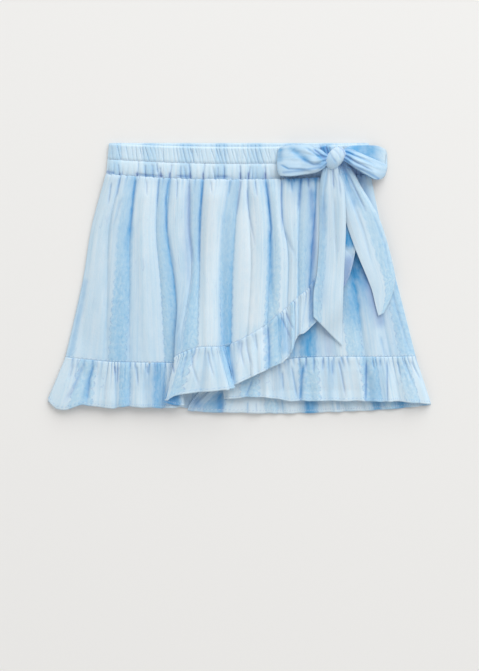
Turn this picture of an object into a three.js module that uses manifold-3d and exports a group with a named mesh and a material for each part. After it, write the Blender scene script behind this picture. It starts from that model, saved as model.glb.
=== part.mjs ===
// A girl's wrap skort in thin striped cotton, laid flat on its back. Millimetres, +Z up,
// +X to the right of the picture, +Y towards the waist, z = 0 is the surface that it lies on.
// Every piece is a thin wall of cloth. The pieces are made from the bottom of the pile to the top,
// and each one lies on a smooth envelope of what is already under it.
import * as THREE from "three";
import { mergeVertices } from "three/addons/utils/BufferGeometryUtils.js";
import Module from "manifold-3d";

const wasm = await Module();
wasm.setup();

// Cloth and seams
const cloth = 1.1; // wall of one layer of cotton
const bandWall = 2.6; // two layers of cotton with the elastic between them
const seamGap = 0.35; // clear distance between two pieces that are sewn together
const lie = 0.5; // clear distance between a layer and what is under it
const ruffleGap = 0.5; // the same where a ruffle hangs from a folded panel
const seamOffset = cloth / 2 + lie;

// Outline of the flat garment
const backTop = 145.9;
const frontTop = { side: 145.2, dip: 3.7 };
const channel = { side: 128.7 }; // stitch line under the upper elastic
const waistSeam = { side: 113, dip: 6 };
const waistHalf = 140; // half the width of the waistband at its top edge
const bandFlare = 3; // the waistband's foot is this much wider on each side
const levels = [0, 0.28, 0.58, 1]; // heights of the lines below, from waist seam to ruffle seam
const sideLine = { left: [-143.4, -158.6, -168.5, -187.4], right: [141.5, 153, 169.5, 190.5] };
const ruffleSeamY = -86;
const hemCorner = { left: [-206.6, -133], right: [207.2, -136] };

const mix = (a, b, f) => a + (b - a) * f;
const clamp = (v, low, high) => Math.min(high, Math.max(low, v));
const smooth = (from, to, v) => {
  const f = clamp((v - from) / (to - from), 0, 1);
  return f * f * (3 - 2 * f);
};
const dipped = (line, x) => line.side - line.dip * (1 - Math.min(1, (x / waistHalf) ** 2));

// A smooth curve through values at knots, with the slopes of its neighbours.
function curveThrough(knots, values) {
  const last = knots.length - 1;
  const slope = (i) => {
    const low = Math.max(0, i - 1);
    const high = Math.min(last, i + 1);
    return (values[high] - values[low]) / (knots[high] - knots[low]);
  };
  return (at) => {
    const v = clamp(at, knots[0], knots[last]);
    let i = 0;
    while (i < last - 1 && v > knots[i + 1]) i += 1;
    const width = knots[i + 1] - knots[i];
    const f = (v - knots[i]) / width;
    const f2 = f * f;
    const f3 = f2 * f;
    return (
      (2 * f3 - 3 * f2 + 1) * values[i] +
      (f3 - 2 * f2 + f) * slope(i) * width +
      (3 * f2 - 2 * f3) * values[i + 1] +
      (f3 - f2) * slope(i + 1) * width
    );
  };
}
const leftSide = curveThrough(levels, sideLine.left);
const rightSide = curveThrough(levels, sideLine.right);

// The pile: the highest cloth so far, on a grid of cells, as a smooth envelope.
const pile = { cell: 3, halfX: 225, halfY: 165, spread: 3 };
pile.columns = Math.ceil((2 * pile.halfX) / pile.cell) + 1;
pile.rows = Math.ceil((2 * pile.halfY) / pile.cell) + 1;
pile.heights = new Float32Array(pile.columns * pile.rows);
pile.envelope = pile.heights.slice();

const cellX = (x) => clamp((x + pile.halfX) / pile.cell, 0, pile.columns - 1.001);
const cellY = (y) => clamp((y + pile.halfY) / pile.cell, 0, pile.rows - 1.001);

// Each cell becomes the largest, or the mean, of its neighbours along one direction.
function sweep(source, step, count, stride, lines, how) {
  const made = source.slice();
  for (let line = 0; line < lines; line += 1)
    for (let i = 0; i < count; i += 1) {
      const from = Math.max(0, i - pile.spread);
      const to = Math.min(count - 1, i + pile.spread);
      let total = how === "most" ? -Infinity : 0;
      for (let k = from; k <= to; k += 1) {
        const v = source[line * stride + k * step];
        total = how === "most" ? Math.max(total, v) : total + v / (to - from + 1);
      }
      made[line * stride + i * step] = total;
    }
  return made;
}

// Adds finished pieces to the pile. The highest of the neighbours and then their mean
// never comes out lower than the cloth itself.
function settle(...meshes) {
  for (const mesh of meshes) {
    const place = mesh.geometry.getAttribute("position");
    const index = mesh.geometry.index;
    for (let f = 0; f < index.count; f += 3) {
      const corners = [0, 1, 2].map((k) => index.getX(f + k));
      const xs = corners.map((c) => cellX(place.getX(c)));
      const ys = corners.map((c) => cellY(place.getY(c)));
      const top = Math.max(...corners.map((c) => place.getZ(c)));
      for (let j = Math.floor(Math.min(...ys)); j <= Math.ceil(Math.max(...ys)); j += 1)
        for (let i = Math.floor(Math.min(...xs)); i <= Math.ceil(Math.max(...xs)); i += 1) {
          const at = j * pile.columns + i;
          pile.heights[at] = Math.max(pile.heights[at], top);
        }
    }
  }
  let made = pile.heights;
  for (const how of ["most", "mean"]) {
    made = sweep(made, 1, pile.columns, pile.columns, pile.rows, how);
    made = sweep(made, pile.columns, pile.rows, 1, pile.columns, how);
  }
  pile.envelope = made;
}

function bed(x, y) {
  const cx = cellX(x);
  const cy = cellY(y);
  const i = Math.floor(cx);
  const j = Math.floor(cy);
  const at = (p, q) => pile.envelope[q * pile.columns + p];
  const low = mix(at(i, j), at(i + 1, j), cx - i);
  const high = mix(at(i, j + 1), at(i + 1, j + 1), cx - i);
  return mix(low, high, cy - j);
}

// Materials
const stripedCotton = new THREE.MeshStandardMaterial({ color: "#c3dcf0", roughness: 0.9, metalness: 0 });
const plainCotton = new THREE.MeshStandardMaterial({ color: "#cfe2f1", roughness: 0.92, metalness: 0 });

const garment = new THREE.Group();
garment.name = "skort";

function addMesh(name, geometry, material) {
  const mesh = new THREE.Mesh(geometry, material);
  mesh.name = name;
  garment.add(mesh);
  return mesh;
}

function steps(count, from = 0, to = 1) {
  return Array.from({ length: count + 1 }, (_, i) => mix(from, to, i / count));
}

// A wall of cloth around the middle surface point(s, t), where s runs to the right and t down.
// outer and inner give the distance from the middle surface to each face.
function clothWall(point, across, down, outer = () => cloth / 2, inner = () => cloth / 2) {
  const near = 1e-3;
  const faces = [];
  const wide = across.length;
  const last = { s: across[wide - 1], t: down[down.length - 1] };
  const sides = [[], []];
  for (const t of down)
    for (const s of across) {
      const left = point(Math.max(across[0], s - near), t);
      const right = point(Math.min(last.s, s + near), t);
      const above = point(s, Math.max(down[0], t - near));
      const below = point(s, Math.min(last.t, t + near));
      const normal = below.sub(above).cross(right.sub(left)).normalize();
      const middle = point(s, t);
      sides[0].push(middle.clone().addScaledVector(normal, outer(s, t)));
      sides[1].push(middle.clone().addScaledVector(normal, -inner(s, t)));
    }
  const count = sides[0].length;
  const quad = (a, b, c, d) => faces.push(a, b, c, a, c, d);
  for (let j = 0; j < down.length - 1; j += 1)
    for (let i = 0; i < wide - 1; i += 1) {
      const a = j * wide + i;
      quad(a, a + wide, a + wide + 1, a + 1);
      quad(count + a, count + a + 1, count + a + wide + 1, count + a + wide);
    }
  for (let i = 0; i < wide - 1; i += 1) {
    const foot = (down.length - 1) * wide + i;
    quad(i, i + 1, count + i + 1, count + i);
    quad(foot + 1, foot, count + foot, count + foot + 1);
  }
  for (let j = 0; j < down.length - 1; j += 1) {
    const a = j * wide;
    const b = a + wide - 1;
    quad(a + wide, a, count + a, count + a + wide);
    quad(b, b + wide, count + b + wide, count + b);
  }
  const geometry = new THREE.BufferGeometry();
  const places = [...sides[0], ...sides[1]].flatMap((p) => [p.x, p.y, p.z]);
  geometry.setAttribute("position", new THREE.Float32BufferAttribute(places, 3));
  geometry.setIndex(faces);
  return geometry;
}

// Turns rows of numbers into rows with named columns. A column left out at the end of a row is 0.
function table(columns, rows) {
  return rows.map((row) => Object.fromEntries(columns.map((name, i) => [name, row[i] ?? 0])));
}

// Back of the skirt: one flat panel and its ruffle, resting on the surface.
function backPanel() {
  const point = (s, t) => {
    const y = mix(waistSeam.side - seamGap, ruffleSeamY + seamGap / 2, t);
    return new THREE.Vector3(mix(leftSide(t), rightSide(t), s), y, cloth / 2);
  };
  return addMesh("back_panel", clothWall(point, steps(16), steps(6)), stripedCotton);
}

// Each row is a place along the back ruffle: its cut, its root on the seam and its foot at the hem.
// From the third row the cloth turns back under itself.
const backRuffleRows = table(["cut", "root", "foot", "hem"], [
  [0, -187.4, hemCorner.left[0], hemCorner.left[1]],
  [95, -120, -128, -131],
  [200, -44, -42, -141],
  [310, 30, 34, -145.4],
  [415, 105, 114, -143.4],
  [490, 160, 172, -140],
  [535, 190.5, hemCorner.right[0], hemCorner.right[1]],
]);
const backRuffle = { period: 26, rise: 0.9, turnAt: 2, turnLean: 33, turnLift: 2.2 };

function alongRows(rows, name) {
  const knots = rows.map((_, i) => i);
  return curveThrough(knots, rows.map((row) => row[name]));
}

// A ruffle's waves are small at its seam, full at its hem and nothing at its two ends.
function ruffleWaves(rows, style) {
  const cut = alongRows(rows, "cut");
  return (s, w) => {
    const f = s / (rows.length - 1);
    const ends = smooth(0, 0.04, f) * (1 - smooth(0.96, 1, f));
    const c = cut(s);
    const phase = (2 * Math.PI * c) / style.period + 1.3 * Math.sin(c / 41) + 0.8 * Math.sin(c / 17);
    return ends * mix(0.25, 1, w) * style.rise * (1 + Math.sin(phase));
  };
}

// A fold that leans over to the left: how far along its slope a point is pulled back.
const pullBack = (f) => 6.75 * f * (1 - f) ** 2;

// Places across the rows: one for each length of cut cloth, and closer ones where a fold leans over.
function stepsAcross(rows, length, least, leans = () => false) {
  const turn = [0, 0.02, 0.06, 0.12, 0.2, 0.3, 0.42, 0.56, 0.7, 0.85];
  const parts = rows.slice(0, -1).flatMap((row, i) => {
    const count = Math.max(least, Math.round((rows[i + 1].cut - row.cut) / length));
    const plain = steps(count).slice(0, count);
    return (leans(row) ? turn : plain).map((f) => i + f);
  });
  return [...parts, rows.length - 1];
}

function makeBackRuffle() {
  const rows = backRuffleRows;
  const root = alongRows(rows, "root");
  const foot = alongRows(rows, "foot");
  const hem = alongRows(rows, "hem");
  const wave = ruffleWaves(rows, backRuffle);
  const point = (s, w) => {
    const f = s - backRuffle.turnAt;
    const turned = f > 0 && f < 1;
    const open = smooth(0.3, 1, w);
    const lean = turned ? backRuffle.turnLean * pullBack(f) * open : 0;
    const lift = turned ? backRuffle.turnLift * Math.sqrt(Math.sin(Math.PI * f)) * open : 0;
    const x = mix(root(s), foot(s), w) - lean;
    const y = mix(ruffleSeamY - seamGap / 2, hem(s), w);
    return new THREE.Vector3(x, y, cloth / 2 + lift + wave(s, w));
  };
  const across = stepsAcross(rows, backRuffle.period / 4, 4, (row) => row === rows[backRuffle.turnAt]);
  return addMesh("back_ruffle", clothWall(point, across, [0, 0.35, 0.7, 1]), stripedCotton);
}

// Waistband: a back and a front length of elastic casing, gathered on their outer face.
const topGathers = 46; // gathers along the upper row
const footGathers = 23; // wider gathers along the lower row

function gatherHeight(x, share, count) {
  const along = (x / waistHalf + 1) / 2;
  const uneven = 0.16 * Math.sin(31 * along) + 0.12 * Math.sin(13 * along);
  const phase = 2 * Math.PI * (count * along + uneven);
  return 0.5 + 0.5 * Math.sin(phase + 0.9 * share);
}

function bandPoint(top, foot, z) {
  return (s, t) => {
    const half = waistHalf + bandFlare * t;
    const x = mix(-half, half, s);
    return new THREE.Vector3(x, mix(top(x), foot(x), t), z);
  };
}

function waistbands() {
  const across = steps(2 * topGathers);
  const backPoint = bandPoint(() => backTop, () => waistSeam.side, bandWall / 2);
  const backRelief = (s, t) => {
    const x = mix(-waistHalf, waistHalf, s);
    return bandWall / 2 + 0.4 * gatherHeight(x, t, topGathers);
  };
  const backGeometry = clothWall(backPoint, across, [0, 0.5, 1], backRelief, () => bandWall / 2);
  const back = addMesh("waistband_back", backGeometry, stripedCotton);
  settle(back);

  const inner = bandWall + 0.4 + seamGap;
  const point = bandPoint((x) => dipped(frontTop, x), (x) => dipped(waistSeam, x), inner + bandWall / 2);
  const seamAt = (frontTop.side - channel.side) / (frontTop.side - waistSeam.side);
  const relief = (s, t) => {
    const x = mix(-waistHalf, waistHalf, s);
    const edge = smooth(0, 0.03, s) * (1 - smooth(0.97, 1, s));
    const upper = 0.9 * gatherHeight(x, t, topGathers) * smooth(0, 0.1, t);
    const puff = Math.sin(Math.PI * clamp((t - seamAt) / (1 - seamAt), 0, 1)) ** 0.7;
    const lower = 1.9 * gatherHeight(x, t, footGathers) * puff;
    const groove = 0.6 * (1 - smooth(0, 0.08, Math.abs(t - seamAt)));
    return bandWall / 2 - groove + edge * (t < seamAt ? upper : lower);
  };
  const down = [0, 0.12, 0.4, seamAt, 0.62, 0.82, 1];
  const frontGeometry = clothWall(point, across, down, relief, () => bandWall / 2);
  return addMesh("waistband_front", frontGeometry, stripedCotton);
}

// Inner shorts: four plain panels, joined down the middle and hidden by the skirt.
const shorts = { waistHalf: 131, hipHalf: 146, crotchY: -48, hemY: -98, spread: 17, waistY: 106 };

function shortsPanel(name, side, z) {
  const point = (s, t) => {
    const y = mix(shorts.waistY, shorts.hemY, t);
    const below = clamp((shorts.crotchY - y) / (shorts.crotchY - shorts.hemY), 0, 1);
    const inner = seamGap + shorts.spread * below;
    const outer = mix(shorts.waistHalf, shorts.hipHalf, smooth(0, 0.8, t));
    const from = side > 0 ? inner : -outer;
    const to = side > 0 ? outer : -inner;
    return new THREE.Vector3(mix(from, to, s), y, z);
  };
  const crotchAt = (shorts.waistY - shorts.crotchY) / (shorts.waistY - shorts.hemY);
  return addMesh(name, clothWall(point, steps(6), [0, 0.25, 0.5, crotchAt, 1]), plainCotton);
}

function shortsPair(which) {
  const level = Math.max(bed(-90, 0), bed(90, 0), bed(-90, 100), bed(60, -95)) + seamOffset;
  settle(shortsPanel(`shorts_${which}_left`, -1, level), shortsPanel(`shorts_${which}_right`, 1, level));
}

// A panel that hangs from the waist seam in folds. Each row of its table is the valley on the
// left of a fold: its place in the cut cloth, its x at the four levels, the y where it ends,
// the lift of the fold at both ends, and how high the valley itself has risen at its lower end.
// Each row of a ruffle's table is the same place at the hem.
const foldColumns = [
  "cut", "waist", "upper", "lower", "end", "endY", "liftTop", "liftEnd", "floor",
];
const footColumns = ["foot", "hem"];

// How far a flare has risen at a place in the cut cloth, and how far it is pulled to the left.
// It rises steeply where the cloth turns back under it, and falls again at its far side.
function flareAt(flare, cut) {
  if (!flare) return { rise: 0, pull: 0 };
  const f = clamp((cut - flare.from) / (flare.to - flare.from), 0, 1);
  const g = clamp((cut - flare.from) / (flare.leanTo - flare.from), 0, 1);
  return { rise: Math.sqrt(Math.sin(Math.PI * f)), pull: pullBack(g) };
}

function foldedPanel(rows, fullness, flare) {
  const lines = rows.map((row) => curveThrough(levels, [row.waist, row.upper, row.lower, row.end]));
  const endY = alongRows(rows, "endY");
  return (s, t) => {
    const i = Math.min(Math.floor(s), rows.length - 2);
    const f = s - i;
    const row = rows[i];
    const { rise, pull } = flareAt(flare, mix(row.cut, rows[i + 1].cut, f));
    const open = smooth(0.35, 1, t);
    const x = mix(lines[i](t), lines[i + 1](t), f) - (flare ? flare.lean * open * pull : 0);
    const y = mix(dipped(waistSeam, x) - seamGap, endY(s) + seamGap / 2, t);
    const lift = mix(row.liftTop, row.liftEnd, t) * mix(0.45, 1, smooth(0, 0.12, t));
    const floor = mix(row.floor, rows[i + 1].floor, f) * smooth(0.1, 0.7, t);
    const arch = Math.sin(Math.PI * f) ** fullness;
    const raised = flare ? flare.lift * open * rise : 0;
    return new THREE.Vector3(x, y, bed(x, y) + seamOffset + floor + lift * arch + raised);
  };
}

// The ruffle under such a panel keeps the panel's folds and adds waves of its own.
function foldedRuffle(rows, feet, style, panel, flare) {
  const foot = alongRows(feet, "foot");
  const hem = alongRows(feet, "hem");
  const wave = ruffleWaves(rows, style);
  const end = alongRows(rows, "end");
  const endY = alongRows(rows, "endY");
  const slope = (s) => (endY(s + 0.01) - endY(s - 0.01)) / (end(s + 0.01) - end(s - 0.01));
  return (s, w) => {
    const seam = slope(clamp(s, 0.01, rows.length - 1.01));
    const across = ruffleGap / Math.hypot(1, seam);
    const root = panel(s, 1);
    const i = Math.min(Math.floor(s), rows.length - 2);
    const { pull } = flareAt(flare, mix(rows[i].cut, rows[i + 1].cut, s - i));
    const lean = flare ? flare.leanHem * pull : 0;
    const lift = root.z - bed(root.x, root.y) - seamOffset;
    const x = mix(root.x + seam * across, foot(s) - lean, w);
    const y = mix(root.y - across, hem(s), w);
    const z = bed(x, y) + seamOffset + lift * mix(1, style.keep, w) + wave(s, w);
    return new THREE.Vector3(x, y, z);
  };
}

// Right front, under the wrap.
const underFolds = table(foldColumns, [
  [-60, -30, -26, -24, -20, -93, 1, 1, 0],
  [-22, 8, 10, 12, 16, -93.5, 1, 1, 0],
  [21, 46, 50, 56, 60, -87, 1, 1.2, 0],
  [70, 80, 88, 97, 104, -85.5, 1.4, 2, 0],
  [103, 104, 113, 124, 136, -85.5, 1.6, 2.2, 0],
  [128, 124, 134, 147, 163, -85.5, 1.6, 1.8, 0],
  [153, 141.5, 153, 169.5, 190.5, -85, 0, 0, 0],
]);
const underFeet = table(footColumns, [
  [-16, -129.5],
  [18, -127.5],
  [62, -132],
  [108, -131.5],
  [142, -132.5],
  [172, -132.5],
  [hemCorner.right[0] - 0.4, hemCorner.right[1] + 0.6],
]);
const underRuffle = { period: 15, rise: 1.1, keep: 0.8 };

// The wrap, from the left side seam over to the bow. Past its fifth row the cloth turns back
// under itself, and what follows lies over it as a flare.
const wrapFolds = table(foldColumns, [
  [0, -143.4, -158.6, -168.5, -187.4, -86, 2, 1.2, 0],
  [26, -127.4, -139.3, -141.2, -142, -90.4, 4, 1.4, 0.6],
  [51, -111.2, -117, -117.7, -117.7, -91.4, 5, 1.4, 0.6],
  [87, -86.4, -89, -84.2, -79.5, -91.8, 3, 1, 0.6],
  [104, -74, -77.2, -69.1, -61.6, -91.2, 5, 0.4, 0],
  [134, -53.5, -54, -48.6, -52.4, -82.6, 3.4, 0.3, 0],
  [155, -38.3, -41.8, -42.1, -43.2, -75.5, 7, 1.6, 0],
  [192, -10.8, -18.4, -21.1, -19.4, -74.6, 0.6, 0.2, 0],
  [211, 0, -3.9, -7, -8.6, -71.5, 3.4, 2, 0],
  [226, 8.6, 11.5, 13, 8.6, -63.5, 6, 3.6, 3.4],
  [252, 29.2, 33.5, 33, 30.2, -50, 5, 3, 0],
  [277, 45.4, 46.4, 53, 51.8, -32.6, 5, 2.6, 0.6],
  [308, 66.4, 64.8, 63.7, 63.7, -21, 4.6, 3, 1],
  [330, 83, 82, 79, 75.6, -10, 4, 2.4, 0],
  [349, 92, 91.6, 91, 90.4, 16, 3, 2.2, 0],
  [362, 100, 100, 99.8, 99.4, 46, 1.6, 1.6, 0],
  [376, 108, 108, 108, 108, 100, 0, 0, 0],
]);
const wrapFeet = table(footColumns, [
  [hemCorner.left[0] + 0.4, hemCorner.left[1] + 0.6],
  [-146, -139],
  [-118.3, -138],
  [-82, -139.4],
  [-59.4, -137],
  [-57.2, -130.6],
  [-54.6, -124],
  [-7.6, -118.4],
  [-5.4, -115],
  [13, -105.6],
  [31.3, -98],
  [52.4, -85],
  [62.6, -63],
  [75, -54.3],
  [111, -12],
  [123, 22],
  [134, 92],
]);
const wrapRuffle = { period: 15, rise: 1.1, keep: 1 };
const wrapFlare = { from: 106, to: 196, leanTo: 165, lift: 9, lean: 13, leanHem: 22.5 };

function frontPieces(prefix, rows, feet, style, fullness, flare) {
  const panel = foldedPanel(rows, fullness, flare);
  const ruffle = foldedRuffle(rows, feet, style, panel, flare);
  const across = stepsAcross(rows, 4.2, 5);
  const panelWall = clothWall(panel, across, [0, 0.06, 0.14, 0.28, 0.43, 0.58, 0.72, 0.86, 1]);
  const ruffleWall = clothWall(ruffle, across, [0, 0.2, 0.45, 0.72, 1]);
  const panelMesh = addMesh(`${prefix}_panel`, panelWall, stripedCotton);
  const ruffleMesh = addMesh(`${prefix}_ruffle`, ruffleWall, stripedCotton);
  settle(panelMesh, ruffleMesh);
}

// The bow: a knot with two loops and two tails of one sash.
const knot = { x: 104, y: 131, halfX: 9.3, halfY: 11, halfZ: 6.5 };
const loopWall = 1.2;

// Each loop runs from the knot out along its under layer, turns, and comes back on top. Each row
// is a place along it, with both edges there and, if it differs, the upper edge of its top layer.
const loops = [
  {
    name: "bow_loop_left", root: 101.5, tip: 40.5, slant: 0, height: 9,
    rows: [
      { along: 0, top: 132.6, foot: 125 },
      { along: 0.12, top: 131.4, foot: 122.6 },
      { along: 0.23, top: 138, foot: 116.6 },
      { along: 0.37, top: 143.2, foot: 114.6 },
      { along: 0.58, top: 144.5, foot: 113.1 },
      { along: 0.8, top: 144.9, foot: 112.4 },
      { along: 1, top: 143.4, foot: 112.9 },
    ],
  },
  {
    name: "bow_loop_right", root: 105.8, tip: 158.8, slant: 2.6, height: 9,
    rows: [
      { along: 0, top: 138, foot: 127.4 },
      { along: 0.12, top: 140.4, foot: 127, front: 139.2 },
      { along: 0.26, top: 143.4, foot: 123, front: 140 },
      { along: 0.43, top: 144.4, foot: 118, front: 137 },
      { along: 0.64, top: 144.8, foot: 112.4, front: 133.6 },
      { along: 0.85, top: 144.3, foot: 107.6, front: 134.6 },
      { along: 1, top: 140.4, foot: 108.4 },
    ],
  },
];

function loopPoint(loop, base) {
  const knots = loop.rows.map((row) => row.along);
  const edge = (pick) => curveThrough(knots, loop.rows.map(pick));
  const top = edge((row) => row.top);
  const front = edge((row) => row.front ?? row.top);
  const foot = edge((row) => row.foot);
  return (s, t) => {
    const along = 1 - Math.abs(2 * s - 1); // 0 at the knot, 1 at the tip
    const upper = s > 0.5 ? 1 : -1;
    const across = 2 * t - 1;
    const reach = along * (1 - 0.06 * across ** 4);
    const x = mix(loop.root, loop.tip, reach) - loop.slant * across * along;
    const y = mix(upper > 0 ? front(along) : top(along), foot(along), t);
    const bulge = mix(1.9, loop.height, smooth(0.05, 0.5, along)) * Math.sqrt(1 - along ** 4);
    const half = (bulge * (1 - 0.4 * across ** 2)) / 2;
    const creased = upper > 0 ? 0.8 * smooth(0, 0.2, along) * (1 - along) : 0;
    const crease = creased * Math.cos(3 * Math.PI * across);
    const middle = Math.max(base(along) + half, bed(x, y) + lie + loopWall / 2 + half);
    return new THREE.Vector3(x, y, middle + upper * half + crease);
  };
}

// Each row of a tail is one level down it, with the places of its two edges.
const tails = [
  {
    name: "bow_tail_right",
    rows: [
      { left: [101, 130], right: [109, 130] },
      { left: [104, 115], right: [121, 116] },
      { left: [107, 100], right: [131, 97.5] },
      { left: [109, 84], right: [140, 83] },
      { left: [113.5, 62.4], right: [151.5, 62] },
      { left: [125, 29], right: [160, 36] },
      { left: [138.6, -2.4], right: [166.6, 9.4] },
      { left: [143.2, -15.4], right: [168, -1.5] },
      { left: [146.6, -30], right: [164.4, -18] },
      { left: [149.5, -40.2], right: [155.3, -37.4] },
    ],
    ridge: 1.6,
  },
  {
    name: "bow_tail_left",
    rows: [
      { left: [98, 128], right: [106, 128] },
      { left: [89.5, 116], right: [106, 115] },
      { left: [86.3, 95], right: [112, 97] },
      { left: [85.9, 67], right: [114, 64] },
      { left: [85.4, 35], right: [113.3, 31] },
      { left: [83.2, 4], right: [112, 2] },
      { left: [79.7, -15.4], right: [110.8, -30] },
      { left: [79.4, -41.5], right: [110.3, -72.6] },
    ],
    ridge: 1.4,
  },
];

function tailPoint(tail) {
  const knots = tail.rows.map((_, i) => i / (tail.rows.length - 1));
  const edge = (side, k) => curveThrough(knots, tail.rows.map((row) => row[side][k]));
  const leftX = edge("left", 0);
  const leftY = edge("left", 1);
  const rightX = edge("right", 0);
  const rightY = edge("right", 1);
  return (s, t) => {
    const x = mix(leftX(t), rightX(t), s);
    const y = mix(leftY(t), rightY(t), s);
    const fading = tail.ridge * (1 - smooth(0.15, 0.95, t));
    const fold = fading * (0.5 + 0.5 * Math.sin(2.5 * Math.PI * s + 0.6));
    const arch = 1.2 * Math.sin(Math.PI * s) * (1 - 0.6 * t);
    return new THREE.Vector3(x, y, bed(x, y) + loopWall / 2 + lie + fold + arch);
  };
}

function solidOf(geometry) {
  const bare = new THREE.BufferGeometry();
  bare.setAttribute("position", geometry.getAttribute("position"));
  bare.setIndex(geometry.index);
  const merged = mergeVertices(bare, 1e-4);
  return new wasm.Manifold(
    new wasm.Mesh({
      numProp: 3,
      vertProperties: new Float32Array(merged.getAttribute("position").array),
      triVerts: new Uint32Array(merged.index.array),
    }),
  );
}

function geometryOf(solid) {
  const mesh = solid.getMesh();
  const places = [];
  for (let i = 0; i < mesh.numVert; i += 1) {
    const from = i * mesh.numProp;
    places.push(...mesh.vertProperties.slice(from, from + 3));
  }
  const geometry = new THREE.BufferGeometry();
  geometry.setAttribute("position", new THREE.Float32BufferAttribute(places, 3));
  geometry.setIndex(Array.from(mesh.triVerts));
  return geometry;
}

function knotGeometry(level, grow) {
  const ball = new THREE.SphereGeometry(1, 18, 12);
  const place = ball.getAttribute("position");
  for (let i = 0; i < place.count; i += 1) {
    const p = new THREE.Vector3().fromBufferAttribute(place, i);
    const around = Math.atan2(p.z, p.x);
    const pleats = (0.5 + 0.5 * Math.cos(4 * around + 2.2 * p.y)) * Math.sqrt(1 - Math.abs(p.y));
    const groove = 1 - 0.07 * pleats;
    const x = knot.x + (knot.halfX * groove + grow) * p.x + 1.2 * p.y;
    const y = knot.y + (knot.halfY * groove + grow) * p.y;
    place.setXYZ(i, x, y, level + (knot.halfZ * groove + grow) * p.z);
  }
  const bare = new THREE.BufferGeometry();
  bare.setAttribute("position", place);
  bare.setIndex(ball.index);
  return mergeVertices(bare, 1e-3);
}

function bow() {
  const half = [0, 0.08, 0.16, 0.26, 0.36, 0.43, 0.475];
  const loopSteps = [...half, 0.5, ...half.map((s) => 1 - s).reverse()];
  const level = bed(knot.x, knot.y) + knot.halfZ + lie;
  const room = solidOf(knotGeometry(level, seamGap));
  const cutByKnot = (name, geometry) => {
    const cut = solidOf(geometry).subtract(room);
    const whole = cut.decompose().sort((a, b) => b.volume() - a.volume())[0];
    return addMesh(name, geometryOf(whole), stripedCotton);
  };
  const wall = () => loopWall / 2;
  for (const tail of tails)
    settle(cutByKnot(tail.name, clothWall(tailPoint(tail), steps(7), steps(14), wall, wall)));
  for (const loop of loops) {
    const base = (along) => mix(level - 1.6, 0, smooth(0, 0.6, along));
    const geometry = clothWall(loopPoint(loop, base), loopSteps, steps(7), wall, wall);
    cutByKnot(loop.name, geometry);
  }
  addMesh("bow_knot", knotGeometry(level, 0), stripedCotton);
}

settle(backPanel(), makeBackRuffle());
const waistbandFront = waistbands();
shortsPair("back");
shortsPair("front");
frontPieces("under", underFolds, underFeet, underRuffle, 1);
frontPieces("wrap", wrapFolds, wrapFeet, wrapRuffle, 0.8, wrapFlare);
settle(waistbandFront);
bow();

export default garment;
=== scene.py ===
import bmesh
import bpy
import numpy as np
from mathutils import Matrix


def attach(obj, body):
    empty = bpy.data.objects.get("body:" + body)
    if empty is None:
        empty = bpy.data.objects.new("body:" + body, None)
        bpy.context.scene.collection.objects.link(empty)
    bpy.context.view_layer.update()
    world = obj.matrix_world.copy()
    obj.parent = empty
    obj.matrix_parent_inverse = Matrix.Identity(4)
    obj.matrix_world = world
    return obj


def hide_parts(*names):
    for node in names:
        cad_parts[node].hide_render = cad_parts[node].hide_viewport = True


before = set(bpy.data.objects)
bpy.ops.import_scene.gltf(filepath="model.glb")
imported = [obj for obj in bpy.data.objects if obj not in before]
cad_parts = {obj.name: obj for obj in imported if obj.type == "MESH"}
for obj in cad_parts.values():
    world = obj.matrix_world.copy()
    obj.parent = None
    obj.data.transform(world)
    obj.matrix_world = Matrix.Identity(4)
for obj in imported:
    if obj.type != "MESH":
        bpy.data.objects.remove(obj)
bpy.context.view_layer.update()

mm = 0.001
picture = {"middle": (239, 278.75), "pixel": 1.08}  # the pixel at the frame's origin, and a pixel's size

# Small tools
fullTurn = 6.283  # radians


def mix(a, b, f):
    return a + (b - a) * f


def smooth(start, end, v):
    f = np.clip((v - start) / (end - start), 0, 1)
    return f * f * (3 - 2 * f)


def curveThrough(knots, values):
    # a smooth curve through values at knots, with the slopes of its neighbours
    knots, values = np.array(knots, float), np.array(values, float)
    last = len(knots) - 1
    low = np.maximum(np.arange(last + 1) - 1, 0)
    high = np.minimum(np.arange(last + 1) + 1, last)
    slope = (values[high] - values[low]) / (knots[high] - knots[low])

    def at(v):
        v = np.clip(v, knots[0], knots[last])
        i = np.clip(np.searchsorted(knots, v, side="right") - 1, 0, last - 1)
        width = knots[i + 1] - knots[i]
        f = (v - knots[i]) / width
        f2, f3 = f * f, f * f * f
        return ((2 * f3 - 3 * f2 + 1) * values[i] + (f3 - 2 * f2 + f) * slope[i] * width
                + (3 * f2 - 2 * f3) * values[i + 1] + (f3 - f2) * slope[i + 1] * width)

    return at


def alongRows(values):
    return curveThrough(np.arange(len(values)), values)


def wander(v, seed, size):
    # a slow uneven wave between -1 and 1, the same each run
    return (np.sin(v / size * 6.28 + seed) + 0.7 * np.sin(v / size * 10.9 + 2.3 * seed)
            + 0.5 * np.sin(v / size * 17.3 + 4.1 * seed)) / 2.2


def fromPicture(points):
    # the picture's pixels to the frame's x and y
    points = np.array(points, float).reshape(-1, 2)
    middle, pixel = picture["middle"], picture["pixel"]
    return np.stack([(points[:, 0] - middle[0]) * pixel, (middle[1] - points[:, 1]) * pixel], 1)


def nearLine(x, y, points):
    # distance from every place to a line of points, and how far along the line it falls
    best = np.full(x.shape, 1e9)
    along = np.zeros(x.shape)
    count = len(points) - 1
    for k in range(count):
        (ax, ay), (bx, by) = points[k], points[k + 1]
        length2 = (bx - ax) ** 2 + (by - ay) ** 2
        f = np.clip(((x - ax) * (bx - ax) + (y - ay) * (by - ay)) / length2, 0, 1)
        away = np.hypot(x - mix(ax, bx, f), y - mix(ay, by, f))
        closer = away < best
        best = np.where(closer, away, best)
        along = np.where(closer, (k + f) / count, along)
    return best, along


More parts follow.
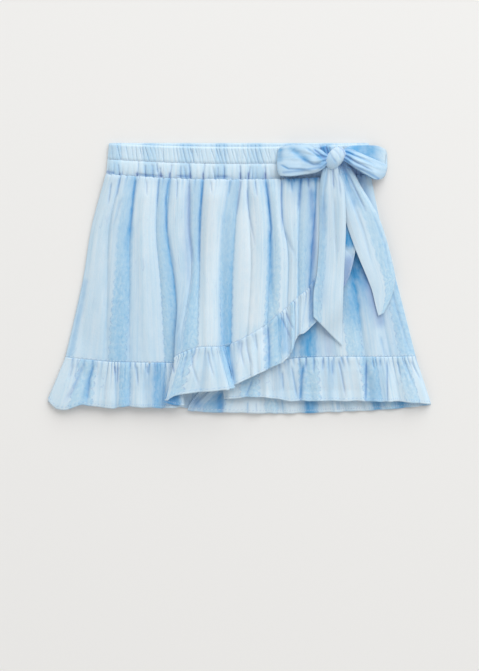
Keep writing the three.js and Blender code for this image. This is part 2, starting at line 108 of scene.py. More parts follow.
# Camera, light and floor
studio = {
    "camera": (0.00054, -0.0613, 1.6),  # metres, straight above the picture's middle
    "lens": 79.5,
    "world": 0.62,
    "worldColour": (1, 0.985, 0.972, 1),
    "keyColour": (0.952, 0.981, 1),
    "keyAt": (1.6, 3.6, 3.0),
    "keySize": 5,
    "keyPower": 182,
    "floor": "#f3f2f0",
    "floorHalf": 3,  # metres
    "floorDrop": 0.0002,  # metres, so that it never shows through the lowest cloth
}


def linearColour(code):
    parts = [int(code[i:i + 2], 16) / 255 for i in (1, 3, 5)]
    return [c / 12.92 if c <= 0.04045 else ((c + 0.055) / 1.055) ** 2.4 for c in parts] + [1.0]


def addNode(tree, kind, inputs=None, **settings):
    node = tree.nodes.new("ShaderNode" + kind)
    for name, value in settings.items():
        setattr(node, name, value)
    for key, value in (inputs or {}).items():
        if isinstance(value, bpy.types.NodeSocket):
            tree.links.new(value, node.inputs[key])
        else:
            node.inputs[key].default_value = value
    return node


def newMaterial(name):
    material = bpy.data.materials.new(name)
    material.use_nodes = True
    material.node_tree.nodes.clear()
    return material, material.node_tree


def makeStudio():
    scene = bpy.context.scene
    cameraData = bpy.data.cameras.new("camera")
    cameraData.sensor_fit = "VERTICAL"
    cameraData.sensor_height = 36
    cameraData.lens = studio["lens"]
    camera = bpy.data.objects.new("camera", cameraData)
    camera.location = studio["camera"]
    scene.collection.objects.link(camera)
    scene.camera = camera
    scene.view_settings.view_transform = "Standard"

    world = bpy.data.worlds.new("studio")
    world.use_nodes = True
    background = world.node_tree.nodes["Background"]
    background.inputs["Color"].default_value = studio["worldColour"]
    background.inputs["Strength"].default_value = studio["world"]
    scene.world = world

    keyData = bpy.data.lights.new("key", "AREA")
    keyData.size = studio["keySize"]
    keyData.energy = studio["keyPower"]
    keyData.color = studio["keyColour"]
    key = bpy.data.objects.new("key", keyData)
    key.location = studio["keyAt"]
    aim = -key.location.normalized()
    key.rotation_euler = aim.to_track_quat("-Z", "Y").to_euler()
    scene.collection.objects.link(key)

    bm = bmesh.new()
    bmesh.ops.create_grid(bm, x_segments=2, y_segments=2, size=studio["floorHalf"])
    mesh = bpy.data.meshes.new("floor")
    bm.to_mesh(mesh)
    bm.free()
    floor = bpy.data.objects.new("floor", mesh)
    floor.location.z = -studio["floorDrop"]
    scene.collection.objects.link(floor)
    material, tree = newMaterial("paperSweep")
    shader = addNode(tree, "BsdfPrincipled", {
        "Base Color": linearColour(studio["floor"]), "Roughness": 0.9, "Specular IOR Level": 0.2})
    addNode(tree, "OutputMaterial", {"Surface": shader.outputs[0]})
    mesh.materials.append(material)


makeStudio()
print("studio: camera, key light and floor")

# Materials
# Striped cotton: a thin dobby weave, washed and line dried. It gives the eye a soft matt cloth with
# pale bands and bluer woven bands, fine upright crinkles, and painted blue shade where it lies in folds.
stripedCotton = {
    "pale": "#d2e9f8",
    # bright is the pale thread of the stitches, and a painted highlight on crinkle ridges and on pale
    # ridges
    "bright": "#e4f2fb",
    "stripe": "#a3d2ef",
    "deep": "#4ea3db",  # painted blue shade in folds, hollows and creases, and the sprigs' blue flecks
    "lilac": "#8aa0cf",  # painted lilac shade in the darkest creases, gathers and thin creases; also the lace edge's dots and the sewing line
    "repeat": 55,  # from one woven band to the next
    "middle": 37,  # place of the first band in the cut cloth
    "half": 9.5,  # half the width of a band
    "scallop": 10,  # length of one scallop of its lace edge
    "bandShare": 0.53,
    "thread": 0.9,  # from thread to thread; real ones are 0.35 mm apart, too fine to show
    "stitch": 3.3,  # from stitch to stitch; real ones are 2.5 mm apart
}


noSeam = 100  # added to a stored distance from a seam, so that a piece without one shows no stitches
shadingLimits = (-0.4, 0.92)  # the limits of the painted shading: below nought a painted highlight, above it painted blue shade


def cottonMaterial(name, look):
    material, tree = newMaterial(name)

    def math(operation, a, b=0.0, c=0.0):
        return addNode(tree, "Math", {0: a, 1: b, 2: c}, operation=operation).outputs[0]

    def ramp(value, start, end):
        return addNode(tree, "MapRange", {"Value": value, "From Min": start, "From Max": end},
                       interpolation_type="SMOOTHSTEP").outputs["Result"]

    def blend(a, b, factor):
        return addNode(tree, "Mix", {0: factor, 6: a, 7: b}, data_type="RGBA").outputs[2]

    uv = addNode(tree, "UVMap", uv_map="cloth").outputs[0]
    parts = addNode(tree, "SeparateXYZ", {0: uv})
    u = math("MULTIPLY", parts.outputs[0], 1000)
    v = math("MULTIPLY", parts.outputs[1], 1000)

    def grain(perU, perV, detail):
        # noise with so many cells a millimetre across and along the cloth
        at = addNode(tree, "CombineXYZ", {0: math("MULTIPLY", u, perU), 1: math("MULTIPLY", v, perV)})
        noise = addNode(tree, "TexNoise", {"Vector": at.outputs[0], "Scale": 1.0, "Detail": detail})
        return noise.outputs["Fac"]

    def stored(name):
        return addNode(tree, "Attribute", attribute_name=name).outputs["Fac"]

    # woven band with a scalloped edge
    fromMiddle = math("PINGPONG", math("SUBTRACT", u, look["middle"]), look["repeat"] / 2)
    turn = math("SINE", math("MULTIPLY", v, 3.1416 / look["scallop"]))
    edge = math("MULTIPLY_ADD", math("ABSOLUTE", turn), 2.2, look["half"] - 1.4)
    inside = math("SUBTRACT", edge, fromMiddle)
    low = math("MULTIPLY_ADD", ramp(v, 20, 130), 0.55, 0.45)  # the bands are paler in the gathers
    band = math("MULTIPLY", ramp(inside, -1.2, 2.0), low)
    rim = math("ABSOLUTE", math("SUBTRACT", inside, 0.4))
    lace = math("MULTIPLY", ramp(rim, 0.9, 0.2), ramp(v, 60, 150))
    # small woven sprigs inside the band, paler and bluer than its ground
    figure = grain(0.34, 0.24, 2.0)
    sprig = math("MULTIPLY", ramp(figure, 0.5, 0.62), band)
    fleck = math("MULTIPLY", ramp(figure, 0.44, 0.34), band)
    # upright pin lines, crinkles that run down the cloth, and a few thin creases pressed in by washing
    cloud = grain(0.035, 0.02, 2.0)
    pins = addNode(tree, "TexNoise", {"W": math("MULTIPLY", u, 0.33), "Scale": 1.0, "Detail": 1.0},
                   noise_dimensions="1D").outputs["Fac"]
    pins = ramp(pins, 0.44, 0.7)
    crinkle = grain(0.24, 0.02, 4.0)
    thin = math("ABSOLUTE", math("SUBTRACT", grain(0.15, 0.022, 1.0), 0.5))
    thin = math("MULTIPLY", ramp(thin, 0.012, 0.0), ramp(cloud, 0.45, 0.6))
    slub = grain(1.1, 0.35, 2.0)

    pale, bright, stripe, deep, lilac = (
        linearColour(look[k]) for k in ("pale", "bright", "stripe", "deep", "lilac"))
    colour = blend(pale, stripe, math("MULTIPLY", ramp(cloud, 0.4, 0.75), 0.2))
    # painted highlight: the crinkles' raised ridges, from the same noise as their bump, are drawn paler
    colour = blend(colour, bright, math("MULTIPLY", ramp(crinkle, 0.3, 0.75), 0.6))
    colour = blend(colour, stripe, math("MULTIPLY", pins, 0.16))
    bandShare = math("MULTIPLY_ADD", crinkle, 0.5, look["bandShare"] - 0.25)
    colour = blend(colour, stripe, math("MULTIPLY", band, bandShare))
    colour = blend(colour, pale, math("MULTIPLY", sprig, 0.55))
    colour = blend(colour, deep, math("MULTIPLY", fleck, 0.16))
    dots = math("MULTIPLY", lace, ramp(grain(0.7, 0.6, 1.0), 0.42, 0.6))
    colour = blend(colour, lilac, math("MULTIPLY", dots, 0.42))
    colour = blend(colour, stripe, math("MULTIPLY", ramp(slub, 0.5, 0.75), 0.14))
    # painted shade: the thin creases are drawn darker lilac as well as pressed in
    colour = blend(colour, lilac, math("MULTIPLY", thin, 0.22))
    # sewing: a piece stores its distance from the line of the seam, plus noSeam. A piece without a
    # seam reads nought, which is far from any line. Stitches are drawn coarser so that they still show
    seam = math("SUBTRACT", stored("seam"), noSeam)
    line = ramp(math("ABSOLUTE", seam), 0.6, 0.3)
    dash = ramp(math("SINE", math("MULTIPLY", math("ADD", u, v), fullTurn / look["stitch"])), -0.5, 0.1)
    stitch = math("MULTIPLY", line, dash)
    tone = stored("tone")
    unevenShade = math("MULTIPLY_ADD", grain(0.2, 0.09, 3.0), 1.4, 0.3)  # the painted shade in the folds is made patchy
    tone = math("MULTIPLY", tone, unevenShade)
    # painted light: the stored shading paints a highlight where it is below nought and blue shade above
    # it, and the second store paints lilac shade
    colour = blend(colour, bright, ramp(tone, 0.0, shadingLimits[0]))
    colour = blend(colour, deep, tone)
    colour = blend(colour, lilac, stored("haze"))
    colour = blend(colour, lilac, math("MULTIPLY", math("SUBTRACT", line, stitch), 0.25))
    colour = blend(colour, bright, math("MULTIPLY", stitch, 0.35))

    # the weave, drawn coarser so that it still shows up close
    weft, warp = (math("SINE", math("MULTIPLY", way, fullTurn / look["thread"])) for way in (u, v))
    threads = math("ADD", weft, warp)
    height = math("MULTIPLY_ADD", threads, 0.012, math("MULTIPLY", crinkle, 0.4))
    height = math("MULTIPLY_ADD", slub, 0.15, height)
    height = math("MULTIPLY_ADD", thin, -0.12, height)
    height = math("MULTIPLY_ADD", lace, 0.06, height)
    height = math("MULTIPLY_ADD", stitch, 0.3, height)
    bump = addNode(tree, "Bump", {"Height": height, "Strength": 0.55, "Distance": 0.001})
    shader = addNode(tree, "BsdfPrincipled", {
        "Base Color": colour, "Normal": bump.outputs[0], "Roughness": 0.88, "Specular IOR Level": 0.25,
        "Sheen Weight": 0.15, "Sheen Roughness": 0.5, "Subsurface Weight": 0.12,
        "Subsurface Radius": (0.7, 0.9, 1.0), "Subsurface Scale": 0.003})
    addNode(tree, "OutputMaterial", {"Surface": shader.outputs[0]})
    return material


striped = cottonMaterial("stripedDobbyCotton", stripedCotton)
# Plain cotton lawn of the shorts: the same thread without the woven bands, so it looks even and pale.
plain = cottonMaterial("plainCottonLawn", {**stripedCotton, "half": -4, "deep": "#86b6dc"})
print("materials: striped cotton and plain cotton")

# The pile: the highest cloth so far, as a smooth envelope that the next layer lies on
pile = {"cell": 3, "halfX": 225, "halfY": 165, "spread": 3, "lie": 0.5, "seamOffset": 1.05}
heights = np.zeros((2 * pile["halfY"] // pile["cell"] + 1, 2 * pile["halfX"] // pile["cell"] + 1))
pile["envelope"] = heights.copy()


def sweep(source, axis, how):
    # the highest or the mean of each cell and its neighbours along one axis
    lines = np.moveaxis(source, axis, 0)
    spread = pile["spread"]
    made = [how(lines[max(0, i - spread):i + spread + 1], axis=0) for i in range(len(lines))]
    return np.moveaxis(np.array(made), 0, axis)


def cellsOf(x, y):
    rows, columns = heights.shape
    return (np.clip((x + pile["halfX"]) / pile["cell"], 0, columns - 1.001),
            np.clip((y + pile["halfY"]) / pile["cell"], 0, rows - 1.001))


def settle(*layers):
    # adds finished layers to the pile and draws its envelope again
    for layer in layers:
        cx, cy = cellsOf(layer["x"].ravel(), layer["y"].ravel())
        top = layer["z"].ravel() + 0.5
        for i in (0, 1):
            for j in (0, 1):
                np.maximum.at(heights, (cy.astype(int) + j, cx.astype(int) + i), top)
    made = heights
    for how in (np.max, np.mean):
        made = sweep(sweep(made, 1, how), 0, how)
    pile["envelope"] = made


def bed(x, y):
    # the level of the envelope at each place
    cx, cy = cellsOf(x, y)
    i, j = cx.astype(int), cy.astype(int)
    e = pile["envelope"]
    low = mix(e[j, i], e[j, i + 1], cx - i)
    high = mix(e[j + 1, i], e[j + 1, i + 1], cx - i)
    return mix(low, high, cy - j)


def bedAt(x, y):
    return bed(np.array([float(x)]), np.array([float(y)]))[0]


# Sizes of the garment, and how a piece of cloth is made
garment = {
    "wall": 0.8,
    "seamGap": 0.35,
    "ruffleGap": 0.5,
    "backTop": 145.9,
    "frontTop": (145.2, 3.7),  # y at the sides, and how far the middle dips
    "waistSeam": (111.6, 6),
    "channelY": 128.7,
    "waistHalf": 140,
    "bandFlare": 3,
    "levels": (0, 0.28, 0.58, 1),
    "leftSide": (-143.4, -158.6, -168.5, -187.4),
    "rightSide": (141.5, 153, 169.5, 190.5),
    "seamY": -86,
    "clothTop": 113,  # y where the cut cloth of the back and the shorts begins
    "panelLength": 200,
    "ruffleLength": 50,
    "hemStitch": 0.945,  # how far down the ruffle its hem is stitched
}
leftSide = curveThrough(garment["levels"], garment["leftSide"])
rightSide = curveThrough(garment["levels"], garment["rightSide"])


def dipped(line, x):
    # y of a line across the garment that sags from its sides to its middle
    side, dip = line
    return side - dip * (1 - np.minimum(1, (x / garment["waistHalf"]) ** 2))


def gridOf(across, down):
    # places s and t of a sheet's vertices, one row of the array for each row of the cloth
    return np.meshgrid(np.asarray(across, float), np.asarray(down, float))


def unitGrid(columns, rows):
    return gridOf(np.linspace(0, 1, columns), np.linspace(0, 1, rows))


def hollows(layer, reach):
    # how deep each place lies under the mean of its neighbours, reach millimetres along the cloth
    z = layer["z"]
    length = abs(layer["u"][0, -1] - layer["u"][0, 0])
    reach = max(1, int(reach * z.shape[1] / length))
    pad = np.pad(z, ((0, 0), (reach, reach)), mode="edge")
    total = np.cumsum(np.pad(pad, ((0, 0), (1, 0))), axis=1)
    mean = (total[:, 2 * reach + 1:] - total[:, :-2 * reach - 1]) / (2 * reach + 1)
    return mean - z


def addCreases(layer, creases):
    # each crease is its depth, its half width, how much painted blue shade it has at both ends, how much
    # painted lilac shade, and its points in the picture; its painted shade runs out softly to the left,
    # away from the light. One without depth is only a soft wash of painted shade on both sides of its
    # line, or of painted highlight where its blue is below nought
    for depth, width, blue, blueEnd, lilac, *points in creases:
        points = fromPicture(points)
        away, along = nearLine(layer["x"], layer["y"], points)
        taper = smooth(0, 0.12, along) * (1 - smooth(0.8, 1, along))
        near = np.exp(-((away / width) ** 2))
        room = np.maximum(0, layer["z"] - layer["base"])
        layer["z"] = layer["z"] - np.minimum(depth * near * mix(0.3, 1, taper), 0.85 * room)
        atY = np.interp(-layer["y"], -points[:, 1], points[:, 0])
        steep = depth > 0 and np.ptp(points[:, 1]) > np.ptp(points[:, 0])
        leftOf = steep * smooth(0.5, -0.5, layer["x"] - atY) * np.exp(-away / (2.8 * width))
        share = mix(0.45, 1, taper) if depth else 1
        blues = mix(blue, blueEnd, along) * np.maximum(near, 0.6 * leftOf)
        layer["tone"] = layer["tone"] + blues * share
        layer["haze"] = layer["haze"] + lilac * near * share


def storeNumbers(mesh, name, values):
    mesh.attributes.new(name, "FLOAT", "POINT").data.foreach_set("value", values.astype(np.float32))


def storePaintedShading(mesh, layer, order=...):
    for name in ("tone", "haze"):
        storeNumbers(mesh, name, np.clip(layer[name][order], *shadingLimits))


def addPiece(title, mesh, material, nodes):
    mesh.shade_smooth()
    mesh.update()
    mesh.materials.append(material)
    piece = bpy.data.objects.new(title, mesh)
    bpy.context.scene.collection.objects.link(piece)
    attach(piece, "root")
    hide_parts(*nodes)
    print("cloth:", title, len(mesh.polygons), "faces")
    return piece


def clothObject(title, layer, nodes, wall=None, material=striped):
    # a grid moved to a layer's places, with its cut cloth as the flat map, and a wall around it
    down, across = layer["x"].shape
    layer.setdefault("haze", 0 * layer["x"])
    bm = bmesh.new()
    bmesh.ops.create_grid(bm, x_segments=across - 1, y_segments=down - 1, size=0.5)
    mesh = bpy.data.meshes.new(title)
    bm.to_mesh(mesh)
    bm.free()
    start = np.empty(len(mesh.vertices) * 3)
    mesh.vertices.foreach_get("co", start)
    start = start.reshape(-1, 3)
    i = np.rint((start[:, 0] + 0.5) * (across - 1)).astype(int)
    j = np.rint((0.5 - start[:, 1]) * (down - 1)).astype(int)
    places = np.stack([layer[k][j, i] for k in "xyz"], 1) * mm
    mesh.vertices.foreach_set("co", places.ravel())
    storePaintedShading(mesh, layer, (j, i))
    if "seam" in layer:
        storeNumbers(mesh, "seam", noSeam + layer["seam"][j, i])
    corner = np.empty(len(mesh.loops), int)
    mesh.loops.foreach_get("vertex_index", corner)
    cloth = np.stack([layer["u"][j, i], layer["v"][j, i]], 1)[corner] * mm
    mesh.uv_layers.new(name="cloth").data.foreach_set("uv", cloth.ravel().astype(np.float32))
    piece = addPiece(title, mesh, material, nodes)
    solid = piece.modifiers.new("wall", "SOLIDIFY")
    solid.thickness = (wall or garment["wall"]) * mm
    solid.offset = 0
    return piece


# Back of the skirt, resting on the floor
# blue is painted shade, mixed evenly into the whole back, which lies under the fronts
backPanel = {"columns": 90, "rows": 50, "cut": 520, "onFloor": 0.55, "blue": 0.15}


def makeBackPanel():
    s, t = unitGrid(backPanel["columns"], backPanel["rows"])
    x = mix(leftSide(t), rightSide(t), s)
    y = mix(garment["waistSeam"][0] - garment["seamGap"], garment["seamY"] + garment["seamGap"] / 2, t)
    z = backPanel["onFloor"] + 0 * x
    layer = {"x": x, "y": y, "z": z, "base": z, "u": s * backPanel["cut"], "v": garment["clothTop"] - y,
             "tone": backPanel["blue"] + 0 * x}
    piece = clothObject("skirtBack", layer, ["back_panel"])
    settle(layer)


backRuffle = {
    # place in the cut cloth, x on the seam, x and y on the hem
    "rows": [(0, -187.4, -206.6, -133), (95, -120, -128, -131), (200, -44, -42, -141),
             (310, 30, 34, -145.4), (415, 105, 114, -143.4), (490, 160, 172, -140),
             (535, 190.5, 207.2, -136)],
    "period": 26, "rise": 0.9, "turnAt": 2, "turnLean": 33, "turnLift": 2.2,
    "columns": 640, "rowsDown": 30, "length": 52,
    # depth, half width, painted blue shade at both ends, painted lilac shade, then points in the picture
    "creases": [
        (0.6, 4, 0.9, 0.8, 0.2, 220, 392, 220, 412),
        (0.8, 1, 0.3, 0.3, 0.3, 222.7, 400, 222.7, 413),
        (0.6, 1.2, 0.4, 0.4, 0.2, 247.5, 402, 247.5, 413),
        (0.6, 1, 0.3, 0.3, 0.2, 256, 402, 256, 412),
        (0.4, 6, 0.4, 0.4, 0, 281, 400, 281, 411),
        (0, 9.5, 1, 0.9, 0.1, 310, 400, 310, 413),
        (0.4, 3, 0.4, 0.4, 0.1, 338, 400, 338, 410),
        (0, 8.5, 1, 0.9, 0, 377, 400, 377, 408),
        (0, 9.5, 0.9, 0.9, 0, 401, 400, 401, 407),
        (0.4, 6, 0.6, 0.6, 0.1, 424, 400, 424, 406),
        (0.3, 5, 0.3, 0.3, 0.2, 195, 398, 200, 408),
        (0, 12, 0.35, 0.35, 0.1, 190, 404, 214, 404),
    ],
}


def ruffleWaves(cut, w, ends, period, rise):
    # uneven waves along a ruffle, low at its seam and full at its hem
    phase = fullTurn * cut / period + 1.3 * np.sin(cut / 41) + 0.8 * np.sin(cut / 17)
    return ends * mix(0.25, 1, w) * rise * (1 + np.sin(phase))


# Gathers are uneven creases. Each kind has the least and the most of five things: the space to the
# next crease, its half width, how far it runs, how deep it is, from 0 to 1, and how it leans
gathers = {
    "backRuffle": ((5, 14), (0.8, 1.6), (14, 80), (0.4, 1), (-0.05, 0.05)),
    "bandUpper": ((2.4, 6.2), (0.5, 0.85), (14, 40), (0.4, 1), (0.12, 0.4)),
    "bandLower": ((4, 9), (0.7, 1.3), (8, 20), (0.4, 1), (-0.25, 0.1)),
    "panelTop": ((4, 12), (0.8, 1.5), (5, 16), (0.15, 0.65), (-0.1, 0.1)),
    "panelFoot": ((5, 14), (0.8, 1.4), (3, 9), (0.2, 0.8), (-0.2, 0.2)),
    "ruffle": ((3.2, 9), (0.7, 1.3), (5, 26), (0.3, 1), (-0.12, 0.12)),
    "longFolds": ((18, 34), (1.6, 3.2), (40, 90), (0.4, 0.8), (-0.1, 0.1)),
    "tailPleats": ((5, 9), (1, 1.8), (25, 70), (0.4, 1), (0, 0)),
}


def puckers(along, down, kind, seed):
    # creases that start where down is 0: from 0 on smooth cloth to about 1 in a deep crease
    chance = np.random.default_rng(seed)
    apart, widths, lengths, depths, slants = kind
    low, high = along.min(), along.max()
    field = np.zeros(along.shape)
    place = low + chance.uniform(*apart)
    while place < high:
        width, length = chance.uniform(*widths), chance.uniform(*lengths)
        depth, slant = chance.uniform(*depths), chance.uniform(*slants)
        wide = width * (1 + 0.6 * down / length)
        across = (along - place - slant * down) / wide
        field += depth * np.exp(-across ** 2) * np.exp(-((down / length) ** 2))
        place += chance.uniform(*apart)
    return field


def taut(field, rise):
    # cloth between creases stands up by rise, and falls to nothing in a deep crease
    return rise * (1 - np.minimum(1, field))


def hemSeam(w):
    # distance from the line of stitches along the hem
    return garment["ruffleLength"] * (garment["hemStitch"] - w)


def pullBack(f):
    # how far a turned edge leans back: nothing at both ends and 1 at a third of the way
    return 6.75 * f * (1 - f) ** 2


def makeBackRuffle():
    rows = np.array(backRuffle["rows"], float)
    w = np.linspace(0, 1, backRuffle["rowsDown"])
    cut, w = gridOf(np.linspace(0, rows[-1, 0], backRuffle["columns"]), w)
    s = np.interp(cut, rows[:, 0], np.arange(len(rows)))
    root, foot, hem = (alongRows(rows[:, k])(s) for k in (1, 2, 3))
    f = np.clip(s - backRuffle["turnAt"], 0, 1)
    opened = smooth(0.3, 1, w)
    share = s / (len(rows) - 1)
    ends = smooth(0, 0.04, share) * (1 - smooth(0.96, 1, share))
    wave = ruffleWaves(cut, w, ends, backRuffle["period"], backRuffle["rise"])
    short = puckers(cut, w * garment["ruffleLength"], gathers["backRuffle"], 3)
    fine = 0.8 * ends * taut(short, 1)
    x = mix(root, foot, w) - backRuffle["turnLean"] * pullBack(f) * opened
    y = mix(garment["seamY"] - garment["seamGap"] / 2, hem + 0.5 * wander(cut, 5, 37), w)
    base = backPanel["onFloor"] + 0 * x
    z = base + backRuffle["turnLift"] * np.sqrt(np.sin(np.pi * f)) * opened + wave + fine
    layer = {"x": x, "y": y, "z": z, "base": base, "u": cut,
             "v": garment["panelLength"] + w * backRuffle["length"], "seam": hemSeam(w)}
    # painted shade in the gathers, and a painted highlight below nought over the rest
    layer["tone"] = 0.3 * short - 0.2
    layer["haze"] = 0.06 * short
    addCreases(layer, backRuffle["creases"])
    piece = clothObject("skirtBackRuffle", layer, ["back_ruffle"])
    settle(layer)


makeBackPanel()
makeBackRuffle()

# Waistband: a back and a front length of elastic casing
waistband = {
    "frontGrid": (700, 56), "backGrid": (480, 30),  # columns and rows
    "upperRise": 1.4, "lowerRise": 2.0, "groove": 0.7,
    "bandRate": 1.44, "bandStart": 230,  # gathering brings the woven bands closer together
    "rowLength": 16,  # each of the two rows of elastic
    "length": 34,
    "backWall": 1.6, "frontWall": 1.4,  # the elastic makes the casing thicker than the skirt's cloth
    # depth, half width, painted blue shade at both ends, painted lilac shade, then points in the picture
    "creases": [
        (1.2, 1.1, 0.1, 0.2, 0.25, 118.5, 165, 120.5, 179),
        (1, 1, 0.1, 0.2, 0.3, 109, 170, 110, 178),
        (1.2, 1.1, 0.1, 0.2, 0.25, 139, 163, 137.5, 179),
        (0.8, 0.9, 0.2, 0.2, 0.3, 146, 166, 146, 178),
        (0.8, 0.9, 0.2, 0.2, 0.3, 152, 165, 153, 178),
        (1.3, 1.2, 0.1, 0.3, 0.4, 160.5, 168, 161.5, 179.5),
        (1.2, 1, 0.1, 0.2, 0.4, 157, 164, 158, 174),
        (1.3, 1.2, 0.1, 0.3, 0.35, 172, 165, 170, 180),
        (0.8, 0.9, 0.2, 0.2, 0.4, 181, 167, 181, 180),
        (1.2, 1.1, 0.1, 0.3, 0.35, 189, 164, 191, 180.5),
        (1.2, 1.1, 0.1, 0.3, 0.3, 205, 164, 203, 180.5),
        (0.8, 0.9, 0.2, 0.2, 0.4, 218, 168, 218, 180.5),
        (0.8, 0.9, 0.2, 0.2, 0.4, 224, 166, 225, 180.5),
        (1.4, 1.1, 0.1, 0.3, 0.45, 240, 166, 241, 181),
        (1.4, 1.1, 0.1, 0.3, 0.35, 250, 167, 248.5, 181),
        (1.2, 1.2, 0.1, 0.3, 0.4, 265, 167, 266, 181),
        (1, 1.1, 0.2, 0.3, 0.3, 281, 170, 281, 181),
        (0.4, 1.4, 0.3, 0.3, 0.35, 137, 174.5, 147, 176, 156, 176.4),
        (0.4, 1.4, 0.3, 0.3, 0.35, 177, 176.4, 184, 177, 192, 177.2),
        (0.4, 1.4, 0.3, 0.3, 0.35, 216, 177.2, 229, 177.4),
        (0.4, 1.4, 0.2, 0.2, 0.5, 106, 172, 111, 173, 115, 173.6),
        (0.4, 1.3, 0.1, 0.1, 0.35, 157, 176.4, 164, 176.8),
        (0.8, 4.6, 1, 0.9, 0.2, 323, 147, 327, 157),
        (0.6, 0.9, 0.2, 0.2, 0.5, 320, 147, 324, 158),
        (0.6, 0.9, 0.2, 0.2, 0.5, 325, 146, 328, 156),
        (0.4, 7, 0.3, 0.5, 0.55, 350, 164, 362, 182),
        (0, 2.6, 0.35, 0.35, 0.25, 284, 176.5, 318, 176),
    ],
    # short pleats with painted dark shade where the waistband joins the skirt: place in the picture, and
    # how much painted lilac shade
    "pleats": [(119.9, 0.6), (137.1, 0.8), (161.1, 0.95), (169.9, 0.9), (190.1, 0.85), (203.1, 0.9),
               (240.1, 0.95), (248.1, 0.95), (265.1, 0.95)],
}
for px, lilac in waistband["pleats"]:
    waistband["creases"].append((0.8, 1.1, 0.3, 0.3, lilac, px, 173.5, px + 0.4, 182))


def bandLayer(grid, top, foot, level, rise, drop):
    # a casing with a row of stitches between its two gathered rows; its ends drop to the layer below
    half, look = garment["waistHalf"], waistband
    s, t = unitGrid(*grid)
    x = mix(-1, 1, s) * (half + garment["bandFlare"] * t)
    y = mix(top(x), foot(x), t)
    straight = mix(-half, half, s)
    topY, seamY = garment["frontTop"][0], garment["waistSeam"][0]
    seamAt = (topY - garment["channelY"]) / (topY - seamY)
    edge = smooth(0, 0.015, s) * (1 - smooth(0.985, 1, s))
    share = np.clip((t - seamAt) / (1 - seamAt), 0, 1)
    upper = puckers(straight, look["rowLength"] * t / seamAt, gathers["bandUpper"], 11)
    upper = upper * smooth(0.02, 0.1, t) * (t < seamAt)
    # the lower gathers start at the skirt's seam and run up
    lower = puckers(straight, look["rowLength"] * (1 - share), gathers["bandLower"], 21)
    lower = lower * smooth(0.08, 0.35, share)
    u = look["bandRate"] * x + look["bandStart"]
    inBand = 0.5 + 0.5 * np.cos(fullTurn * (u - stripedCotton["middle"]) / stripedCotton["repeat"])
    lower = lower * mix(0.35, 1.1, inBand)  # the pale cloth between the woven bands puffs up smoothly
    upper = upper * mix(0.6, 1.2, inBand)
    puff = np.clip(np.sin(np.pi * np.clip(share * 0.9 + 0.05, 0, 1)), 0, 1) ** 0.75
    groove = look["groove"] * np.exp(-(((t - seamAt) / 0.036) ** 2))
    relief = np.where(t < seamAt, taut(upper, look["upperRise"]) * smooth(0, 0.06, t),
                      taut(lower, look["lowerRise"]) * puff)
    ends = 1 - smooth(0, 0.03, s) * (1 - smooth(0.97, 1, s))
    z = level + rise * (edge * relief - groove) - drop * ends
    # painted blue and lilac shade in the gathers, most at the skirt's seam, and painted lilac shade in the
    # groove along the row of stitches
    stitched = np.exp(-(((t - seamAt) / 0.02) ** 2))
    atSeam = smooth(0.6, 0.95, share)
    # the woven bands are drawn a little bluer, and the pale puffs of the lower row get a painted highlight
    bandBlueAndPuffHighlight = 0.1 * inBand ** 2 - 0.12 * (1 - inBand) * (t > seamAt)
    return {"x": x, "y": y, "z": z, "base": level - 0.9 + 0 * z,
            "u": u, "v": t * look["length"], "seam": (t - seamAt) * look["length"],
            "tone": bandBlueAndPuffHighlight + 0.2 * (upper + lower) + 0.3 * lower * atSeam,
            "haze": 0.12 * upper + 0.08 * lower + 0.12 * stitched + 0.5 * lower * atSeam}


def makeWaistbands():
    seamLine = garment["waistSeam"]
    back = bandLayer(waistband["backGrid"], lambda x: garment["backTop"] + 0 * x,
                     lambda x: seamLine[0] + 0 * x, level=1.5, rise=0.5, drop=0)
    # stronger painted blue and lilac shade on the back band
    back["tone"], back["haze"] = 1.8 * back["tone"] + 0.06, 1.5 * back["haze"]
    piece = clothObject("waistbandBack", back, ["waistband_back"], wall=waistband["backWall"])
    settle(back)
    front = bandLayer(waistband["frontGrid"], lambda x: dipped(garment["frontTop"], x),
                      lambda x: dipped(seamLine, x), level=5.2, rise=1, drop=2)
    addCreases(front, waistband["creases"])
    piece = clothObject("waistbandFront", front, ["waistband_front"], wall=waistband["frontWall"])
    return front


frontBand = makeWaistbands()

# Inner shorts, hidden by the skirt
shorts = {
    "waistHalf": 131, "hipHalf": 146, "crotchY": -48, "hemY": -98, "spread": 17, "waistY": 106,
    "grid": (30, 44),
    "gathers": 9, "gatherRise": 0.12,
    "feelers": ((-90, 0), (90, 0), (-90, 100), (60, -95)),  # places where the level of the pile is taken
}


def makeShorts(which):
    level = max(bedAt(*place) for place in shorts["feelers"]) + pile["seamOffset"]
    made = []
    for side, word in ((-1, "Left"), (1, "Right")):
        s, t = unitGrid(*shorts["grid"])
        y = mix(shorts["waistY"], shorts["hemY"], t)
        below = np.clip((shorts["crotchY"] - y) / (shorts["crotchY"] - shorts["hemY"]), 0, 1)
        inner = garment["seamGap"] + shorts["spread"] * below
        outer = mix(shorts["waistHalf"], shorts["hipHalf"], smooth(0, 0.8, t))
        x = mix(inner, outer, s) if side > 0 else mix(-outer, -inner, s)
        z = level + shorts["gatherRise"] * np.sin(fullTurn * s * shorts["gathers"]) * (1 - t)
        layer = {"x": x, "y": y, "z": z, "base": z, "u": x + 200, "v": garment["clothTop"] - y,
                 "tone": 0.1 + 0 * x}
        node = f"shorts_{which}_{word.lower()}"
        title = f"shorts{which.title()}{word}"
        piece = clothObject(title, layer, [node], material=plain)
        made.append(layer)
    settle(*made)


makeShorts("back")
makeShorts("front")
print("back of the skirt, waistband and shorts are laid")
